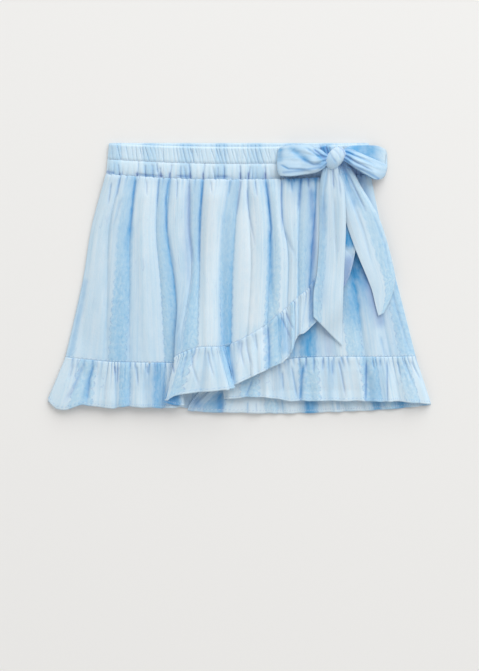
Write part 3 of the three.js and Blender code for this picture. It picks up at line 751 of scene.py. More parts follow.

# The two fronts, each a folded panel with its ruffle.
# A row of folds is the valley on the left of a fold: its place in the cut cloth, its x at the four
# levels, the y where it ends, the lift of the fold at both ends, how high the valley has risen, and
# then how much painted blue shade runs out to the left of the valley at both ends, and how far. A row
# of feet is where that valley's line meets the ruffle's hem. Fullness shapes a fold, rounder as it gets
# less, and keep is how much of its lift is left at the hem. Creases are as in the back ruffle
underFront = {
    "folds": [
        (-60, -30, -26, -24, -20, -93, 1, 1, 0, 0.3, 0.3, 6),
        (-22, 8, 10, 12, 16, -93.5, 1, 1, 0, 0.3, 0.3, 6),
        (21, 46, 50, 56, 60, -87, 1, 1.2, 0, 0.5, 0.5, 8),
        (70, 80, 88, 97, 104, -85.5, 1.4, 2, 0, 0.4, 0.25, 5),
        (103, 104, 113, 124, 136, -85.5, 1.6, 2.2, 0, 0.5, 0.2, 5),
        (128, 124, 134, 147, 163, -85.5, 1.6, 1.8, 0, 0.3, 0.1, 4),
        (153, 141.5, 153, 169.5, 190.5, -85, 0, 0, 0, 0, 0, 3),
    ],
    "feet": [(-16, -129.5), (18, -127.5), (62, -132), (108, -131.5), (142, -132.5), (172, -132.5),
             (206.8, -135.4)],
    "period": 15, "rise": 1.1, "keep": 0.8, "fullness": 0.9, "seed": 31,
    "columns": 300, "panelRows": 100, "ruffleColumns": 460, "ruffleRows": 38,
    # place in the ruffle's own cut cloth for each cut of the panel
    "ruffleCut": [(-60, 10), (36, 92), (72, 120), (108, 147), (138.8, 202), (153, 225)],
    "creases": [
        (0, 11, 1, 0.75, 0, 307, 318, 308, 358),
        (0, 6, 0, 0, 0.3, 326, 326, 328, 352),
        (0, 24, 0.1, 0.14, 0.04, 385, 240, 395, 352),
        (0, 12, 0.95, 0.3, 0, 355, 256, 356, 284, 355, 316),
        (0, 9, 0.15, 0, 0, 352, 306, 352, 335),
        (0, 8, 0.6, 0.15, 0.1, 361, 258, 371, 300),
        (0, 6, 0.1, 0.1, 0.45, 366, 272, 372, 298, 379, 322),
        (0, 6, 0.6, 0.2, 0.3, 357, 172, 372, 222),
        (0.8, 1.6, 0.15, 0.1, 0.1, 391, 292, 409, 352),
        (0, 6, 0.12, 0.1, 0, 369, 310, 371, 350),
        (0.6, 1.4, 0.3, 0.1, 0.1, 380, 338, 384, 356),
        (0.8, 3, 0.8, 0.5, 0.2, 349, 222, 350, 250),
    ],
    "ruffleCreases": [
        (0, 9, 0.25, 0.35, 0, 376, 362, 376, 403),
        (0, 9, -0.12, -0.12, 0, 405, 362, 407, 403),
        (0, 6, 0.18, 0.15, 0, 328, 364, 329, 400),
        (0.9, 1, 0.2, 0.1, 0.3, 306, 359, 305, 367),
        (1.4, 1.8, 0.7, 0.6, 0.3, 303, 365, 301, 380, 300, 402),
        (0.9, 1, 0.2, 0.1, 0.3, 314, 360, 313, 372),
        (0.9, 1, 0.2, 0.1, 0.3, 322, 360, 322, 370),
        (0.9, 1.1, 0.2, 0.1, 0.3, 331, 360, 332, 374),
        (1.2, 1.3, 0.3, 0.1, 0.3, 338, 360, 341, 374, 345, 396),
        (1.4, 1.1, 0.5, 0.5, 0.5, 365.5, 361, 365, 402),
        (1.2, 1, 0.4, 0.3, 0.4, 386, 361, 386.5, 401),
        (0.9, 1, 0.3, 0.1, 0.2, 372, 360, 373, 368),
        (0.9, 1, 0.3, 0.1, 0.2, 379, 360, 379, 367),
        (0.9, 1.1, 0.2, 0.1, 0.2, 397, 361, 400, 376),
        (1, 1.3, 0.3, 0.1, 0.2, 404, 361, 412, 384),
        (0.9, 1.1, 0.3, 0.1, 0.2, 410, 361, 420, 380),
        (1, 1.3, 0.3, 0.2, 0.2, 252, 380, 246, 396),
        (1, 1.3, 0.3, 0.2, 0.2, 282, 372, 283, 390),
        (1, 1.3, 0.3, 0.2, 0.2, 291, 366, 297, 398),
    ],
}
wrapFront = {
    "folds": [
        (0, -143.4, -158.6, -168.5, -187.4, -86, 2, 1.2, 0, 0, 0, 3),
        (26, -127.4, -139.3, -141.2, -142, -90.4, 4, 1.4, 0.6, 0.1, 0.02, 3),
        (51, -111.2, -117, -117.7, -117.7, -91.4, 5, 1.4, 0.6, 0.4, 0.1, 8),
        (87, -86.4, -89, -84.2, -79.5, -91.8, 3, 1, 0.6, 0.1, 0.05, 3),
        (104, -74, -77.2, -69.1, -61.6, -91.2, 5, 0.4, 0, 0.4, 0.15, 7),
        (134, -53.5, -54, -48.6, -52.4, -82.6, 3.4, 0.3, 0, 0.1, 0.1, 5),
        (155, -38.3, -41.8, -42.1, -43.2, -75.5, 7, 1.6, 0, 0.45, 0.1, 7),
        (192, -10.8, -18.4, -21.1, -19.4, -74.6, 0.6, 0.2, 0, 0.1, 0.4, 5),
        (211, 0, -3.9, -7, -8.6, -71.5, 3.4, 2, 0, 0.3, 0.6, 9),
        (226, 8.6, 11.5, 13, 8.6, -63.5, 6, 3.6, 3.4, 0.05, 0, 3),
        (252, 29.2, 33.5, 33, 30.2, -50, 5, 3, 0, 0.3, 0.2, 4),
        (277, 45.4, 46.4, 53, 51.8, -32.6, 5, 2.6, 0.6, 0.1, 0.1, 4),
        (308, 66.4, 64.8, 63.7, 63.7, -21, 4.6, 3, 1, 0.15, 0.1, 4),
        (330, 83, 82, 79, 75.6, -10, 4, 2.4, 0, 0.5, 0.5, 7),
        (349, 92, 91.6, 91, 90.4, 16, 3, 2.2, 0, 0.2, 0.2, 4),
        (362, 100, 100, 99.8, 99.4, 46, 1.6, 1.6, 0, 0.3, 0.3, 4),
        (376, 108, 108, 108, 108, 100, 0, 0, 0, 0.2, 0.2, 3),
    ],
    "feet": [(-205.8, -129), (-146, -139), (-118.3, -138), (-82, -139.4), (-59.4, -137), (-57.2, -130.6),
             (-54.6, -124), (-7.6, -118.4), (-5.4, -115), (13, -105.6), (31.3, -98), (52.4, -85),
             (62.6, -63), (75, -54.3), (111, -12), (123, 22), (134, 92)],
    "period": 15, "rise": 1.1, "keep": 1, "fullness": 0.62, "seed": 41,
    "columns": 450, "panelRows": 100, "ruffleColumns": 700, "ruffleRows": 38,
    "ruffleCut": [(0, 12), (46, 92), (84, 147), (141, 257), (185, 290), (192, 312), (215, 340), (264, 367),
                  (290, 422), (376, 520)],
    "corner": 9.6,  # how far the hem drops behind its left corner
    # woven bands that lie aside: place in the cut, and how far at the top and at the foot
    "bandShift": [(42, -9, -1), (96, -4.5, -4.5)],
    # from start on the cloth turns back under itself and lies over as a flare; the turned cloth gets
    # painted blue and lilac shade
    "flare": {"start": 106, "end": 196, "leanTo": 165, "lift": 9, "lean": 13, "leanHem": 22.5,
              "turned": (122, 130), "turnedShade": 0.85, "turnedLilacShade": 0.25},
}


def flareAt(flare, cut):
    # how far the flare raises each place of the cut, and how far it leans it back, from 0 to 1
    if not flare:
        return 0 * cut, 0 * cut
    f = np.clip((cut - flare["start"]) / (flare["end"] - flare["start"]), 0, 1)
    g = np.clip((cut - flare["start"]) / (flare["leanTo"] - flare["start"]), 0, 1)
    return np.sqrt(np.clip(np.sin(np.pi * f), 0, 1)), pullBack(g)


def panelPlaces(front, cut, t):
    # where each place of a front lies, from the rows of its folds, and how much painted blue shade its
    # folds get
    rows = np.array(front["folds"], float)
    endAt, liftTop, liftFoot, valley, blueTop, blueFoot, reach = rows[:, 5:].T
    flare = front.get("flare")
    place = np.interp(cut, rows[:, 0], np.arange(len(rows)))
    i = np.minimum(place.astype(int), len(rows) - 2)
    f = place - i
    lines = np.array([curveThrough(garment["levels"], row[1:5])(t) for row in rows])
    flat = np.arange(cut.size).reshape(cut.shape)
    lineAt = lines.reshape(len(rows), -1)
    left, right = lineAt[i, flat], lineAt[i + 1, flat]
    rise, pull = flareAt(flare, cut)
    opened = smooth(0.35, 1, t)
    x = mix(left, right, f) - (flare["lean"] * opened * pull if flare else 0)
    endY = alongRows(endAt)(place) + garment["seamGap"] / 2
    top = dipped(garment["waistSeam"], x) - garment["seamGap"]
    y = mix(top, endY, t)
    lift = mix(liftTop[i], liftFoot[i], t) * mix(0.45, 1, smooth(0, 0.12, t))
    floor = mix(valley[i], valley[i + 1], f) * smooth(0.1, 0.7, t)
    arch = np.clip(np.sin(np.pi * f), 0, 1) ** front["fullness"]
    raised = flare["lift"] * opened * rise if flare else 0
    base = bed(x, y) + pile["seamOffset"]
    z = base + floor + lift * arch + raised
    # painted shade: blue runs out to the left of the next valley, and a little lies just right of this one
    ahead = np.maximum(0, right - x) / reach[i + 1]
    tone = mix(blueTop[i + 1], blueFoot[i + 1], t) * np.exp(-ahead)
    behind = np.maximum(0, x - left) / 1.3
    tone = tone + 0.8 * mix(blueTop[i], blueFoot[i], t) * np.exp(-behind)
    return {"x": x, "y": y, "z": z, "base": base, "place": place, "tone": tone, "down": top - y}


def makePanel(title, node, front):
    rows = np.array(front["folds"], float)
    cut, t = gridOf(np.linspace(rows[0, 0], rows[-1, 0], front["columns"]),
                    np.linspace(0, 1, front["panelRows"]) ** 1.25)
    layer = panelPlaces(front, cut, t)
    layer["u"], layer["v"] = cut, layer["down"]
    for place, top, foot in front.get("bandShift", ()):
        near = np.exp(-(((cut - place) / 22) ** 4))
        layer["u"] = layer["u"] + mix(top, foot, smooth(0.3, 1, t)) * near
    share = (cut - rows[0, 0]) / (rows[-1, 0] - rows[0, 0])
    ends = smooth(0, 0.03, share) * (1 - smooth(0.97, 1, share))
    # gathers under the waistband and over the ruffle's seam, and slow hollows between them
    down = layer["down"]
    top = puckers(cut, down, gathers["panelTop"], 5)
    up = (1 - t) * garment["panelLength"]
    seam = puckers(cut, up, gathers["panelFoot"], 6)
    nearBand = taut(top, 1.5) * np.exp(-down / 14)
    nearSeam = taut(seam, 0.4) * np.exp(-up / 6) - 0.5 * np.exp(-up / 1.4)
    soft = 0.5 * (1 + wander(cut + 3 * np.sin(down / 60), 7, 34)) * smooth(10, 50, down)
    layer["z"] = layer["z"] + ends * (nearBand + nearSeam + soft) - 1.2 * np.exp(-down / 1.6)
    # the gathers make the line under the waistband a little uneven
    uneven = 0.7 + 0.5 * wander(cut, 2, 15) - 1.2 * np.minimum(1, top)
    layer["seam"] = layer["y"] - layer["y"][-1:] - 2.4
    layer["y"] = layer["y"] + uneven * np.exp(-down / 1.5)
    # painted lilac and blue shade just under the waistband and in the gathers
    layer["haze"] = 0.06 * np.exp(-down / 4) + 0.2 * top + 0.05 * seam
    layer["tone"] = layer["tone"] + 0.24 * top + 0.1 * seam
    addCreases(layer, front["creases"])
    hollow = hollows(layer, 6)
    # painted shade makes hollows bluer and a painted highlight makes ridges paler
    layer["tone"] = layer["tone"] + 0.05 * np.clip(hollow, 0, 2.5) + 0.12 * np.clip(hollow, -1.2, 0)
    piece = clothObject(title, layer, [node])
    return layer, piece


def makeRuffle(title, node, front):
    rows = np.array(front["folds"], float)
    feet = np.array(front["feet"], float)
    cut, w = gridOf(np.linspace(rows[0, 0], rows[-1, 0], front["ruffleColumns"]),
                    np.linspace(0, 1, front["ruffleRows"]) ** 1.15)
    root = panelPlaces(front, cut, 1 + 0 * w)
    place = root["place"]
    count = len(rows) - 1
    end, endY = alongRows(rows[:, 4]), alongRows(rows[:, 5])  # where the panel's lowest edge runs
    mid = np.clip(place, 0.01, count - 0.01)
    slope = (endY(mid + 0.01) - endY(mid - 0.01)) / (end(mid + 0.01) - end(mid - 0.01))
    lap = 1 - smooth(0, 0.035, w)  # the root laps over the edge of the panel
    across = (garment["ruffleGap"] - 1.6 * lap) / np.hypot(1, slope)
    flare = front.get("flare")
    pull = flareAt(flare, cut)[1]
    foot = alongRows(feet[:, 0])(place) - (flare["leanHem"] * pull if flare else 0)
    hem = alongRows(feet[:, 1])(place)
    known = np.array(front["ruffleCut"], float)
    own = np.interp(cut, known[:, 0], known[:, 1])
    share = place / count
    ends = smooth(0, 0.03, share) * (1 - smooth(0.97, 1, share))
    wave = ruffleWaves(cut, w, ends, front["period"], front["rise"])
    down = w * garment["ruffleLength"]
    short = puckers(own, down, gathers["ruffle"], front["seed"])
    folds = puckers(own, down, gathers["longFolds"], front["seed"] + 1) * smooth(0, 0.3, w)
    fine = ends * taut(short, 1.1 + 0.7 * np.exp(-down / 9)) * smooth(-0.04, 0.05, w)
    loose = 1.6 * ends * taut(folds, 1) * smooth(0.1, 0.7, w)
    wave = wave * (0.75 + 0.35 * wander(cut, 9, 60))
    hem = hem + ends * (1.1 * folds - 0.7 * wander(own, 4, 44))
    ahead = foot - feet[0, 0]
    corner = np.sqrt(np.clip(ahead / 9, 0, 1)) * (1 - smooth(14, 42, ahead))
    hem = hem - front.get("corner", 0) * corner
    x = mix(root["x"] + slope * across, foot, w)
    y = mix(root["y"] - across, hem, w)
    base = bed(x, y) + pile["seamOffset"]
    lift = root["z"] - root["base"]
    stitched = garment["hemStitch"]
    edge = 0.35 * smooth(stitched + 0.01, stitched + 0.02, w)  # the narrow turned hem
    z = base + lift * mix(1, front["keep"], w) + wave + fine + loose + edge + 0.3 * lap
    layer = {"x": x, "y": y, "z": z, "base": base, "u": own, "v": garment["panelLength"] + down,
             "tone": 0 * x, "seam": hemSeam(w)}
    atRoot = np.exp(-down / 7)
    # painted shade in the gathers and folds, most at the root, and along the root under the panel's edge
    layer["haze"] = short * (0.1 + 0.3 * atRoot) + 0.08 * folds
    layer["tone"] = short * (0.2 + 0.2 * atRoot) + 0.22 * folds + 0.05 * np.exp(-down / 1.5)
    addCreases(layer, front["ruffleCreases"])
    # painted shade in hollows and a painted highlight on ridges
    hollow = hollows(layer, 6)
    layer["tone"] = layer["tone"] + 0.06 * np.clip(hollow, 0, 2.2) + 0.1 * np.clip(hollow, -1.2, 0)
    layer["tone"] = layer["tone"] + 0.2 * np.exp(-(((w - stitched) / 0.012) ** 2))
    if flare:
        # painted shade on the cloth turned under the flare
        turned = smooth(flare["start"], flare["start"] + 4, cut) * (1 - smooth(*flare["turned"], cut))
        turned = turned * smooth(0.4, 0.9, w)
        layer["tone"] = layer["tone"] + flare["turnedShade"] * turned
        layer["haze"] = layer["haze"] + flare["turnedLilacShade"] * turned
    piece = clothObject(title, layer, [node])
    return layer, piece


def makeFronts():
    panel, piece = makePanel("rightFront", "under_panel", underFront)
    ruffle, piece = makeRuffle("rightFrontRuffle", "under_ruffle", underFront)
    settle(panel, ruffle)
    panel, piece = makePanel("wrap", "wrap_panel", wrapFront)
    ruffle, piece = makeRuffle("wrapRuffle", "wrap_ruffle", wrapFront)
    settle(panel, ruffle)


# depth, half width, painted blue shade at both ends, painted lilac shade, then points in the picture
wrapFront["creases"] = [
    (0, 42, 0.05, 0.2, 0, 140, 200, 118, 366),
    (0, 9, -0.22, -0.22, 0, 212, 186, 213, 262, 212, 336),
    (0, 13, -0.2, -0.25, 0, 248, 220, 252, 318),
    (0, 9, -0.2, -0.1, 0, 147, 190, 148, 250),
    (0, 7, 0.1, 0.2, 0, 169, 230, 173, 300, 172, 366),
    (0, 7, 0.05, 0.1, 0, 126, 230, 119, 300, 118, 366),
    (0, 7, 0.12, 0.15, 0, 226, 220, 225, 280, 226, 342),
    (0, 7, 0.12, 0.2, 0, 186, 245, 182, 345),
    (0, 4.5, 0.25, 0.15, 0.1, 311, 195, 311, 285),
    (1.2, 1.1, 0.35, 0.1, 0.3, 120.5, 179, 119, 188, 117.5, 197),
    (0.6, 1.8, 0.1, 0.05, 0.05, 122, 200, 113, 230),
    (2.4, 1.2, 0.55, 0.35, 0.2, 136.5, 181, 134.5, 192, 131, 232),
    (0.4, 5, 0.3, 0.05, 0, 131, 225, 127, 262),
    (1.4, 1, 0.35, 0.1, 0.3, 159.5, 180, 158.5, 190, 157.5, 207),
    (2.4, 1.3, 0.55, 0.25, 0.15, 169.5, 180, 166, 200, 167, 232),
    (1, 2.2, 0.25, 0.15, 0, 167, 232, 172.5, 262, 175.6, 300),
    (1.6, 1.8, 0.1, 0.05, 0.4, 189.5, 182, 189.5, 232, 193, 262),
    (0.8, 3.4, 0.1, 0.05, 0.2, 187, 190, 186.5, 240, 190, 290),
    (2.6, 1.2, 0.6, 0.3, 0.25, 203.5, 180, 200.5, 215, 199, 262),
    (1.2, 1.2, 0.3, 0.2, 0.1, 230, 182, 229, 196),
    (1.4, 1.1, 0.25, 0.1, 0.45, 240.5, 182, 240, 190, 237, 215),
    (1.2, 1, 0.05, 0, 0.3, 247, 190, 247.5, 204, 254.5, 245),
    (2.6, 1.2, 0.6, 0.6, 0.25, 265, 180, 268, 200, 271, 229, 270, 240),
    (1.2, 2.6, 0.5, 0.3, 0, 270, 238, 270.5, 262, 272, 305),
    (1.8, 1.2, 0.4, 0.1, 0.35, 281.5, 182, 281, 200, 282, 231),
    (0.8, 2, 0.05, 0, 0.15, 284, 232, 294, 256),
    (1.4, 1.6, 0.4, 0.1, 0.3, 300.5, 179, 299, 196, 297.6, 212),
    (0.8, 3, 0.1, 0.1, 0.35, 309, 182, 314, 232, 312, 268),
    (1, 1.4, 0.8, 0.2, 0.2, 290.5, 179, 291.5, 193),
    (0.8, 1.1, 0.6, 0.2, 0.3, 307, 178, 308, 189),
    (0, 6, 0.45, 0.1, 0.05, 293, 180, 296, 200),
    (0, 3.4, 0.45, 0.45, 0.15, 286, 180, 317, 180),
    (0, 3.2, 0.25, 0.3, 0.05, 86, 282, 70, 360),
    (0, 4, 0.15, 0.3, 0.12, 313, 245, 312, 290),
    (1, 1, 0.3, 0.1, 0.3, 112, 184, 109, 204),
    (0.9, 0.9, 0.2, 0.05, 0.3, 147, 182, 147.5, 196),
    (0.9, 0.9, 0.2, 0.05, 0.35, 178, 182, 177, 200),
    (0.8, 0.9, 0.2, 0.05, 0.25, 211, 183, 212, 194),
    (0.9, 0.9, 0.2, 0.05, 0.25, 255, 183, 257, 198),
]
wrapFront["ruffleCreases"] = [
    (0, 8.5, 0.45, 0.5, 0.05, 157, 366, 157, 406),
    (0, 5.5, 0.2, 0.3, 0, 124, 366, 124, 406),
    (0, 26, 0.05, 0.06, 0, 100, 385, 150, 385),
    (1, 1.3, 0.1, 0, 0.2, 73.5, 365, 70, 378),
    (1.4, 2.2, 0, 0, 0.3, 83, 365, 76, 385, 66, 401),
    (2, 1.5, 0.45, 0.25, 0.2, 94.5, 365, 90, 380, 88, 402),
    (0.4, 4, 0.1, 0.1, 0, 88, 370, 85, 402),
    (1.2, 1, 0.2, 0.1, 0.5, 115.5, 366, 116, 374),
    (1.2, 1.1, 0.3, 0.1, 0.4, 118.5, 367, 118, 383),
    (1.2, 1.1, 0.3, 0.1, 0.3, 137.5, 366, 138.5, 385),
    (1.2, 1, 0.2, 0.1, 0.3, 148, 366, 148, 374),
    (1.2, 1, 0.4, 0.2, 0.5, 173, 364, 175, 372),
    (1, 1.3, 0.15, 0, 0.2, 188, 356, 184, 368, 182, 380),
    (1, 1.2, 0.15, 0, 0.2, 193, 354, 193, 366, 199, 384),
    (1, 1.2, 0.1, 0, 0.2, 208, 351, 210, 362, 214, 376),
    (1.8, 3.2, 0.8, 0.5, 0, 227, 342, 229, 360, 234, 384),
    (0, 6.5, 0.6, 0.4, 0, 281, 322, 282, 334, 283, 350),
    (0, 4, -0.25, -0.2, 0, 264, 320, 265, 350),
    (1, 1.2, 0.1, 0, 0.25, 242, 341, 241, 352, 244, 366),
    (1, 1.2, 0.1, 0, 0.2, 246, 338, 247, 350, 252, 366),
    (1, 1.2, 0.1, 0, 0.2, 255, 334, 257, 350),
    (1.4, 1.1, 0.3, 0.3, 0.3, 267.5, 326, 269, 345, 269, 366),
    (1, 1, 0, 0, 0.4, 281, 318, 290, 338),
    (1, 1, 0, 0, 0.4, 285, 312, 293, 330),
    (0, 6.5, 1.3, 1.3, 0, 349, 206, 349, 243),
    (0, 7, 0.3, 0.2, 0.6, 348, 262, 344, 288),
    (0, 3.6, 0.45, 0.4, 0.35, 312.5, 272, 311, 320),
]
makeFronts()
settle(frontBand)  # after the fronts, because only the bow lies on it
print("the two fronts and their ruffles are laid")

# The bow
# The bow's creases are as in the back ruffle: depth, half width, painted blue shade at both ends, painted
# lilac shade, then points in the picture
bow = {
    "wall": 0.7, "lie": 0.3,  # how far the tails lie over the cloth under them
    "tailGrid": (52, 130), "tailCut": 42,  # width of the cloth in a tail, with its pleats
    "loopGrid": (150, 56), "loopCut": (56, 22),  # where the loops' cloth begins, and its width
    "knotAt": (102.6, 128), "knotHalf": (11.6, 11.6, 8), "knotGrid": (96, 64),
    "knotSquare": 1.65, "knotFlat": 0.7,  # 2 and 1 would be a round ball
    "knotLift": 2.4, "rootSink": 1.6,  # the knot rides up on the tails, and the loops' roots sink into it
    # each loop's inner blue and wash are painted shade, on its inner layer and all over
    "loops": [
        # along, top, foot, and the upper edge of the top layer
        {"name": "bowLoopLeft", "node": "bow_loop_left", "root": 101.5, "tip": 40.5, "slant": 0,
         "height": 9, "innerShade": 0.3, "shadeWash": 0.22,
         "rows": [(0, 131, 123.4, 131), (0.12, 130.6, 121, 130.6), (0.23, 136.4, 115.4, 136.4),
                  (0.37, 141.2, 112, 141.2), (0.58, 142.5, 110.2, 142.5), (0.8, 142.6, 108.8, 142.6),
                  (1, 140.6, 109.4, 140.6)],
         "creases": [
             (2.2, 1.2, 0.35, 0.3, 0.7, 313, 151.5, 318, 156, 324, 162),
             (1.4, 1.4, 0.4, 0.3, 0.2, 306, 150, 315, 157, 322, 163),
             (1.4, 3.2, 0.5, 0.45, 0.05, 291, 151, 299, 157, 310, 165),
             (0.8, 3, 0.55, 0.3, 0.1, 280, 149, 279, 165),
             (0.7, 1, 0.5, 0.4, 0.3, 281, 167, 288, 171, 304, 171.5),
             (1, 1.6, 0.2, 0.2, 0.3, 300, 160, 312, 167, 320, 167.5),
             (0, 1.2, 0.2, 0.3, 0.35, 283, 174.3, 300, 173, 320, 170),
         ]},
        {"name": "bowLoopRight", "node": "bow_loop_right", "root": 105.8, "tip": 158.8, "slant": 2.6,
         "height": 9, "innerShade": 0.78, "shadeWash": 0.24,
         "rows": [(0, 135, 125, 135), (0.12, 138, 124.6, 137.4), (0.26, 141.6, 121, 137.6),
                  (0.43, 142.6, 115.6, 134.4), (0.64, 143, 110, 129.6), (0.85, 142.4, 105.6, 125.4),
                  (1, 139, 107, 123)],
         "creases": [
             (1.4, 1.6, 0.35, 0.15, 0.1, 345, 154, 358, 160, 373, 167),
             (1.4, 1.3, 0.2, 0.1, 0.35, 344, 158, 356, 165.5, 370, 173),
             (0.8, 1.4, 0.15, 0.1, 0.1, 346, 151.5, 360, 155.5, 372, 161),
             (0, 1.3, 0.4, 0.4, 0.35, 343, 162, 352, 168, 364, 174, 377, 180),
         ]},
    ],
    "tails": [
        {"name": "bowTailRight", "node": "bow_tail_right", "ridge": 1.6, "width": 27, "uStart": 5,
         "left": [(101, 130), (104, 115), (107, 100), (109, 84), (113.5, 62.4), (125, 29), (138.6, -2.4),
                  (143.2, -15.4), (146.6, -30), (149.5, -40.2)],
         "right": [(109, 130), (121, 116), (131, 97.5), (140, 83), (151.5, 62), (160, 36), (166.6, 9.4),
                   (168, -1.5), (164.4, -18), (155.3, -37.4)],
         "creases": [
             (2, 4, 0.75, 0.25, 0.05, 343, 172, 347, 188, 358, 212),
             (1.2, 1.2, 0.1, 0.1, 0.35, 341, 166, 349, 180, 357, 197, 364, 212),
             (1, 1.6, 0.2, 0.1, 0.1, 350, 200, 362, 232, 370, 262),
             (0.8, 1.6, 0.25, 0.05, 0.1, 372, 215, 384, 246, 388, 272),
         ]},
        {"name": "bowTailLeft", "node": "bow_tail_left", "ridge": 1.4, "width": 28, "uStart": 35,
         "left": [(98, 128), (89.5, 116), (86.3, 95), (85.9, 67), (85.4, 35), (83.2, 4), (79.7, -15.4),
                  (79.4, -41.5)],
         "right": [(106, 128), (106, 115), (112, 97), (114, 64), (113.3, 31), (112, 2), (110.8, -30),
                   (110.3, -72.6)],
         "creases": [
             (1.4, 1.1, 0.1, 0, 0.5, 331.5, 171, 332.5, 190),
             (1.2, 1.6, 0.35, 0.1, 0.1, 326, 172, 323.5, 190, 322, 212),
             (0, 6, 0.12, 0.12, 0.06, 322, 200, 322, 300),
             (1, 1.4, 0.2, 0.05, 0.2, 337, 174, 339, 198),
             (0.6, 2.4, 0.3, 0.1, 0.15, 323, 206, 323, 236),
             (0.8, 1.5, 0.15, 0.05, 0.05, 333, 200, 335, 262),
         ]},
    ],
    "knotCreases": [
        (0.4, 1, 0.2, 0.2, 0.2, 328, 155, 331, 161, 335, 166),
        (0.8, 0.9, 0.1, 0.1, 0.4, 336, 148.5, 341.5, 153, 344, 160),
        (0.4, 0.9, 0.15, 0.15, 0.15, 331, 151, 336, 156, 340, 163),
        (0, 5, 0, 0, 0.15, 337, 150, 342, 155),
        (0, 6, 0.35, 0.35, 0, 327, 160, 333, 167),
    ],
}


def makeTail(tail):
    s, t = unitGrid(*bow["tailGrid"])
    knots = np.linspace(0, 1, len(tail["left"]))
    left, right = np.array(tail["left"], float), np.array(tail["right"], float)
    x = mix(curveThrough(knots, left[:, 0])(t), curveThrough(knots, right[:, 0])(t), s)
    y = mix(curveThrough(knots, left[:, 1])(t), curveThrough(knots, right[:, 1])(t), s)
    base = bed(x, y) + bow["wall"] / 2 + bow["lie"]
    edge = smooth(0, 0.14, s) * (1 - smooth(0.86, 1, s))
    laid = mix(1, edge, smooth(0.1, 0.3, t))  # the long edges lie down on the skirt
    ridges = 0.5 + 0.5 * np.sin(2.5 * np.pi * s + 0.6)
    fold = tail["ridge"] * (1 - smooth(0.15, 0.95, t)) * laid * ridges
    length = np.hypot(left[:, 0] - left[0, 0], left[:, 1] - left[0, 1])[-1]
    pleats = puckers(40 * s, length * t, gathers["tailPleats"], 3)
    arch = 1.2 * np.sin(np.pi * s) * (1 - 0.6 * t)
    loose = taut(pleats, 1.4) * (1 - smooth(0, 0.6, t)) * laid
    layer = {"x": x, "y": y, "z": base + fold + arch + loose, "base": base,
             "u": tail["uStart"] + bow["tailCut"] * s, "v": length * t}
    # painted blue and lilac shade in the pleats and under the knot
    shadeUnderKnot = 1 - smooth(0.07, 0.16, t)
    layer["tone"] = 0.03 + 0.12 * pleats + 0.35 * shadeUnderKnot
    layer["haze"] = 0.05 * pleats + 0.3 * shadeUnderKnot
    addCreases(layer, tail["creases"])
    piece = clothObject(tail["name"], layer, [tail["node"]], wall=bow["wall"])
    return layer


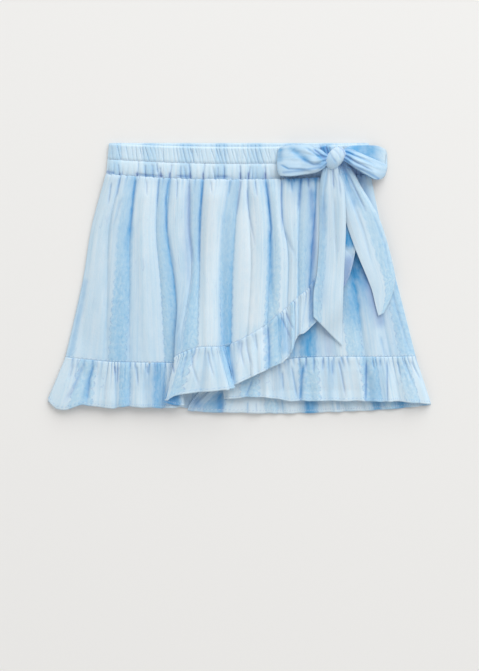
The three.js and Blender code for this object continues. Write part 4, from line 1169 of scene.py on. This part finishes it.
def makeLoop(loop, level):
    rows = np.array(loop["rows"], float)
    s, t = unitGrid(*bow["loopGrid"])
    along = 1 - np.abs(2 * s - 1)  # 0 at the knot and 1 at the tip
    upper = np.where(s > 0.5, 1.0, -1.0)
    side = 2 * t - 1
    top, foot, front = (curveThrough(rows[:, 0], rows[:, k])(along) for k in (1, 2, 3))
    reach = along * (1 - 0.06 * side ** 4)
    x = mix(loop["root"], loop["tip"], reach) - loop["slant"] * side * along
    y = mix(np.where(upper > 0, front, top), foot, t)
    bulge = mix(1.9, loop["height"], smooth(0.05, 0.5, along)) * np.sqrt(np.clip(1 - along ** 4, 0, 1))
    half = bulge * (1 - 0.4 * side ** 2) / 2
    creased = np.where(upper > 0, smooth(0, 0.2, along) * (1 - along), 0)
    across = side + 0.25 * wander(along, 3, 1.1)
    crease = creased * (np.cos(3 * np.pi * across + 0.6) + 0.3 * np.cos(6.4 * np.pi * across))
    start = mix(level - bow["rootSink"], 0, smooth(0, 0.6, along))
    sunk = bow["rootSink"] * (1 - smooth(0.05, 0.22, along))
    onBed = bed(x, y) + pile["lie"] + 0.6 - sunk
    middle = np.maximum(start + half, onBed + half)
    layer = {"x": x, "y": y, "z": middle + upper * half + crease, "base": middle,
             "u": bow["loopCut"][0] + bow["loopCut"][1] * t,
             "v": along * abs(loop["tip"] - loop["root"]),
             # painted shade all over, and more blue and lilac near the knot
             "tone": loop["shadeWash"] + 0.45 * (1 - smooth(0.15, 0.36, along)),
             "haze": 0.3 * (1 - smooth(0.12, 0.24, along))}
    addCreases(layer, loop["creases"])
    # painted shade on the inner layer, less towards the tip
    inner = loop["innerShade"] * (1 - smooth(0.6, 1, along))
    layer["tone"] = np.where(upper > 0, layer["tone"], inner)
    piece = clothObject(loop["name"], layer, [loop["node"]], wall=bow["wall"])


def makeKnot(level):
    bm = bmesh.new()
    around, down = bow["knotGrid"]
    bmesh.ops.create_uvsphere(bm, u_segments=around, v_segments=down, radius=1)
    flatPlaces = bm.loops.layers.uv.new("cloth")
    halfX, halfY, halfZ = bow["knotHalf"]
    mesh = bpy.data.meshes.new("bowKnot")
    for v in bm.verts:
        v.co = (v.co.x, v.co.z, -v.co.y)  # the sphere's poles point up and down the picture
    places = np.array([v.co for v in bm.verts])
    px, py, pz = places.T
    turn = np.arctan2(pz, px)
    pleats = (0.5 + 0.5 * np.cos(4 * turn + 2.2 * py)) * np.sqrt(np.clip(1 - np.abs(py), 0, 1))
    groove = 1 - 0.025 * pleats
    side, square = np.arctan2(py, px), bow["knotSquare"]
    diamond = (np.abs(np.cos(side)) ** square + np.abs(np.sin(side)) ** square) ** (-1 / square)
    knot = {"x": bow["knotAt"][0] + halfX * groove * diamond * px + 1.2 * py,
            "y": bow["knotAt"][1] + halfY * groove * diamond * py + 3 * px,
            "z": level + halfZ * groove * np.sign(pz) * np.abs(pz) ** bow["knotFlat"],
            # a painted highlight all over the knot
            "base": level + 0 * px, "tone": 0 * px - 0.08, "haze": 0 * px}
    addCreases(knot, bow["knotCreases"])
    for v, x, y, z in zip(bm.verts, knot["x"], knot["y"], knot["z"]):
        v.co = (x * mm, y * mm, z * mm)
    for face in bm.faces:
        for corner in face.loops:
            corner[flatPlaces].uv = (corner.vert.co.x * 1.2, corner.vert.co.y)
    bmesh.ops.recalc_face_normals(bm, faces=bm.faces)
    bm.to_mesh(mesh)
    bm.free()
    storePaintedShading(mesh, knot)
    piece = addPiece("bowKnot", mesh, striped, ["bow_knot"])


def makeBow():
    level = bedAt(*bow["knotAt"]) + bow["knotHalf"][2] + pile["lie"]
    for tail in bow["tails"]:
        settle(makeTail(tail))
    for loop in bow["loops"]:
        makeLoop(loop, level)
    makeKnot(level + bow["knotLift"])


makeBow()
print("the bow is tied")
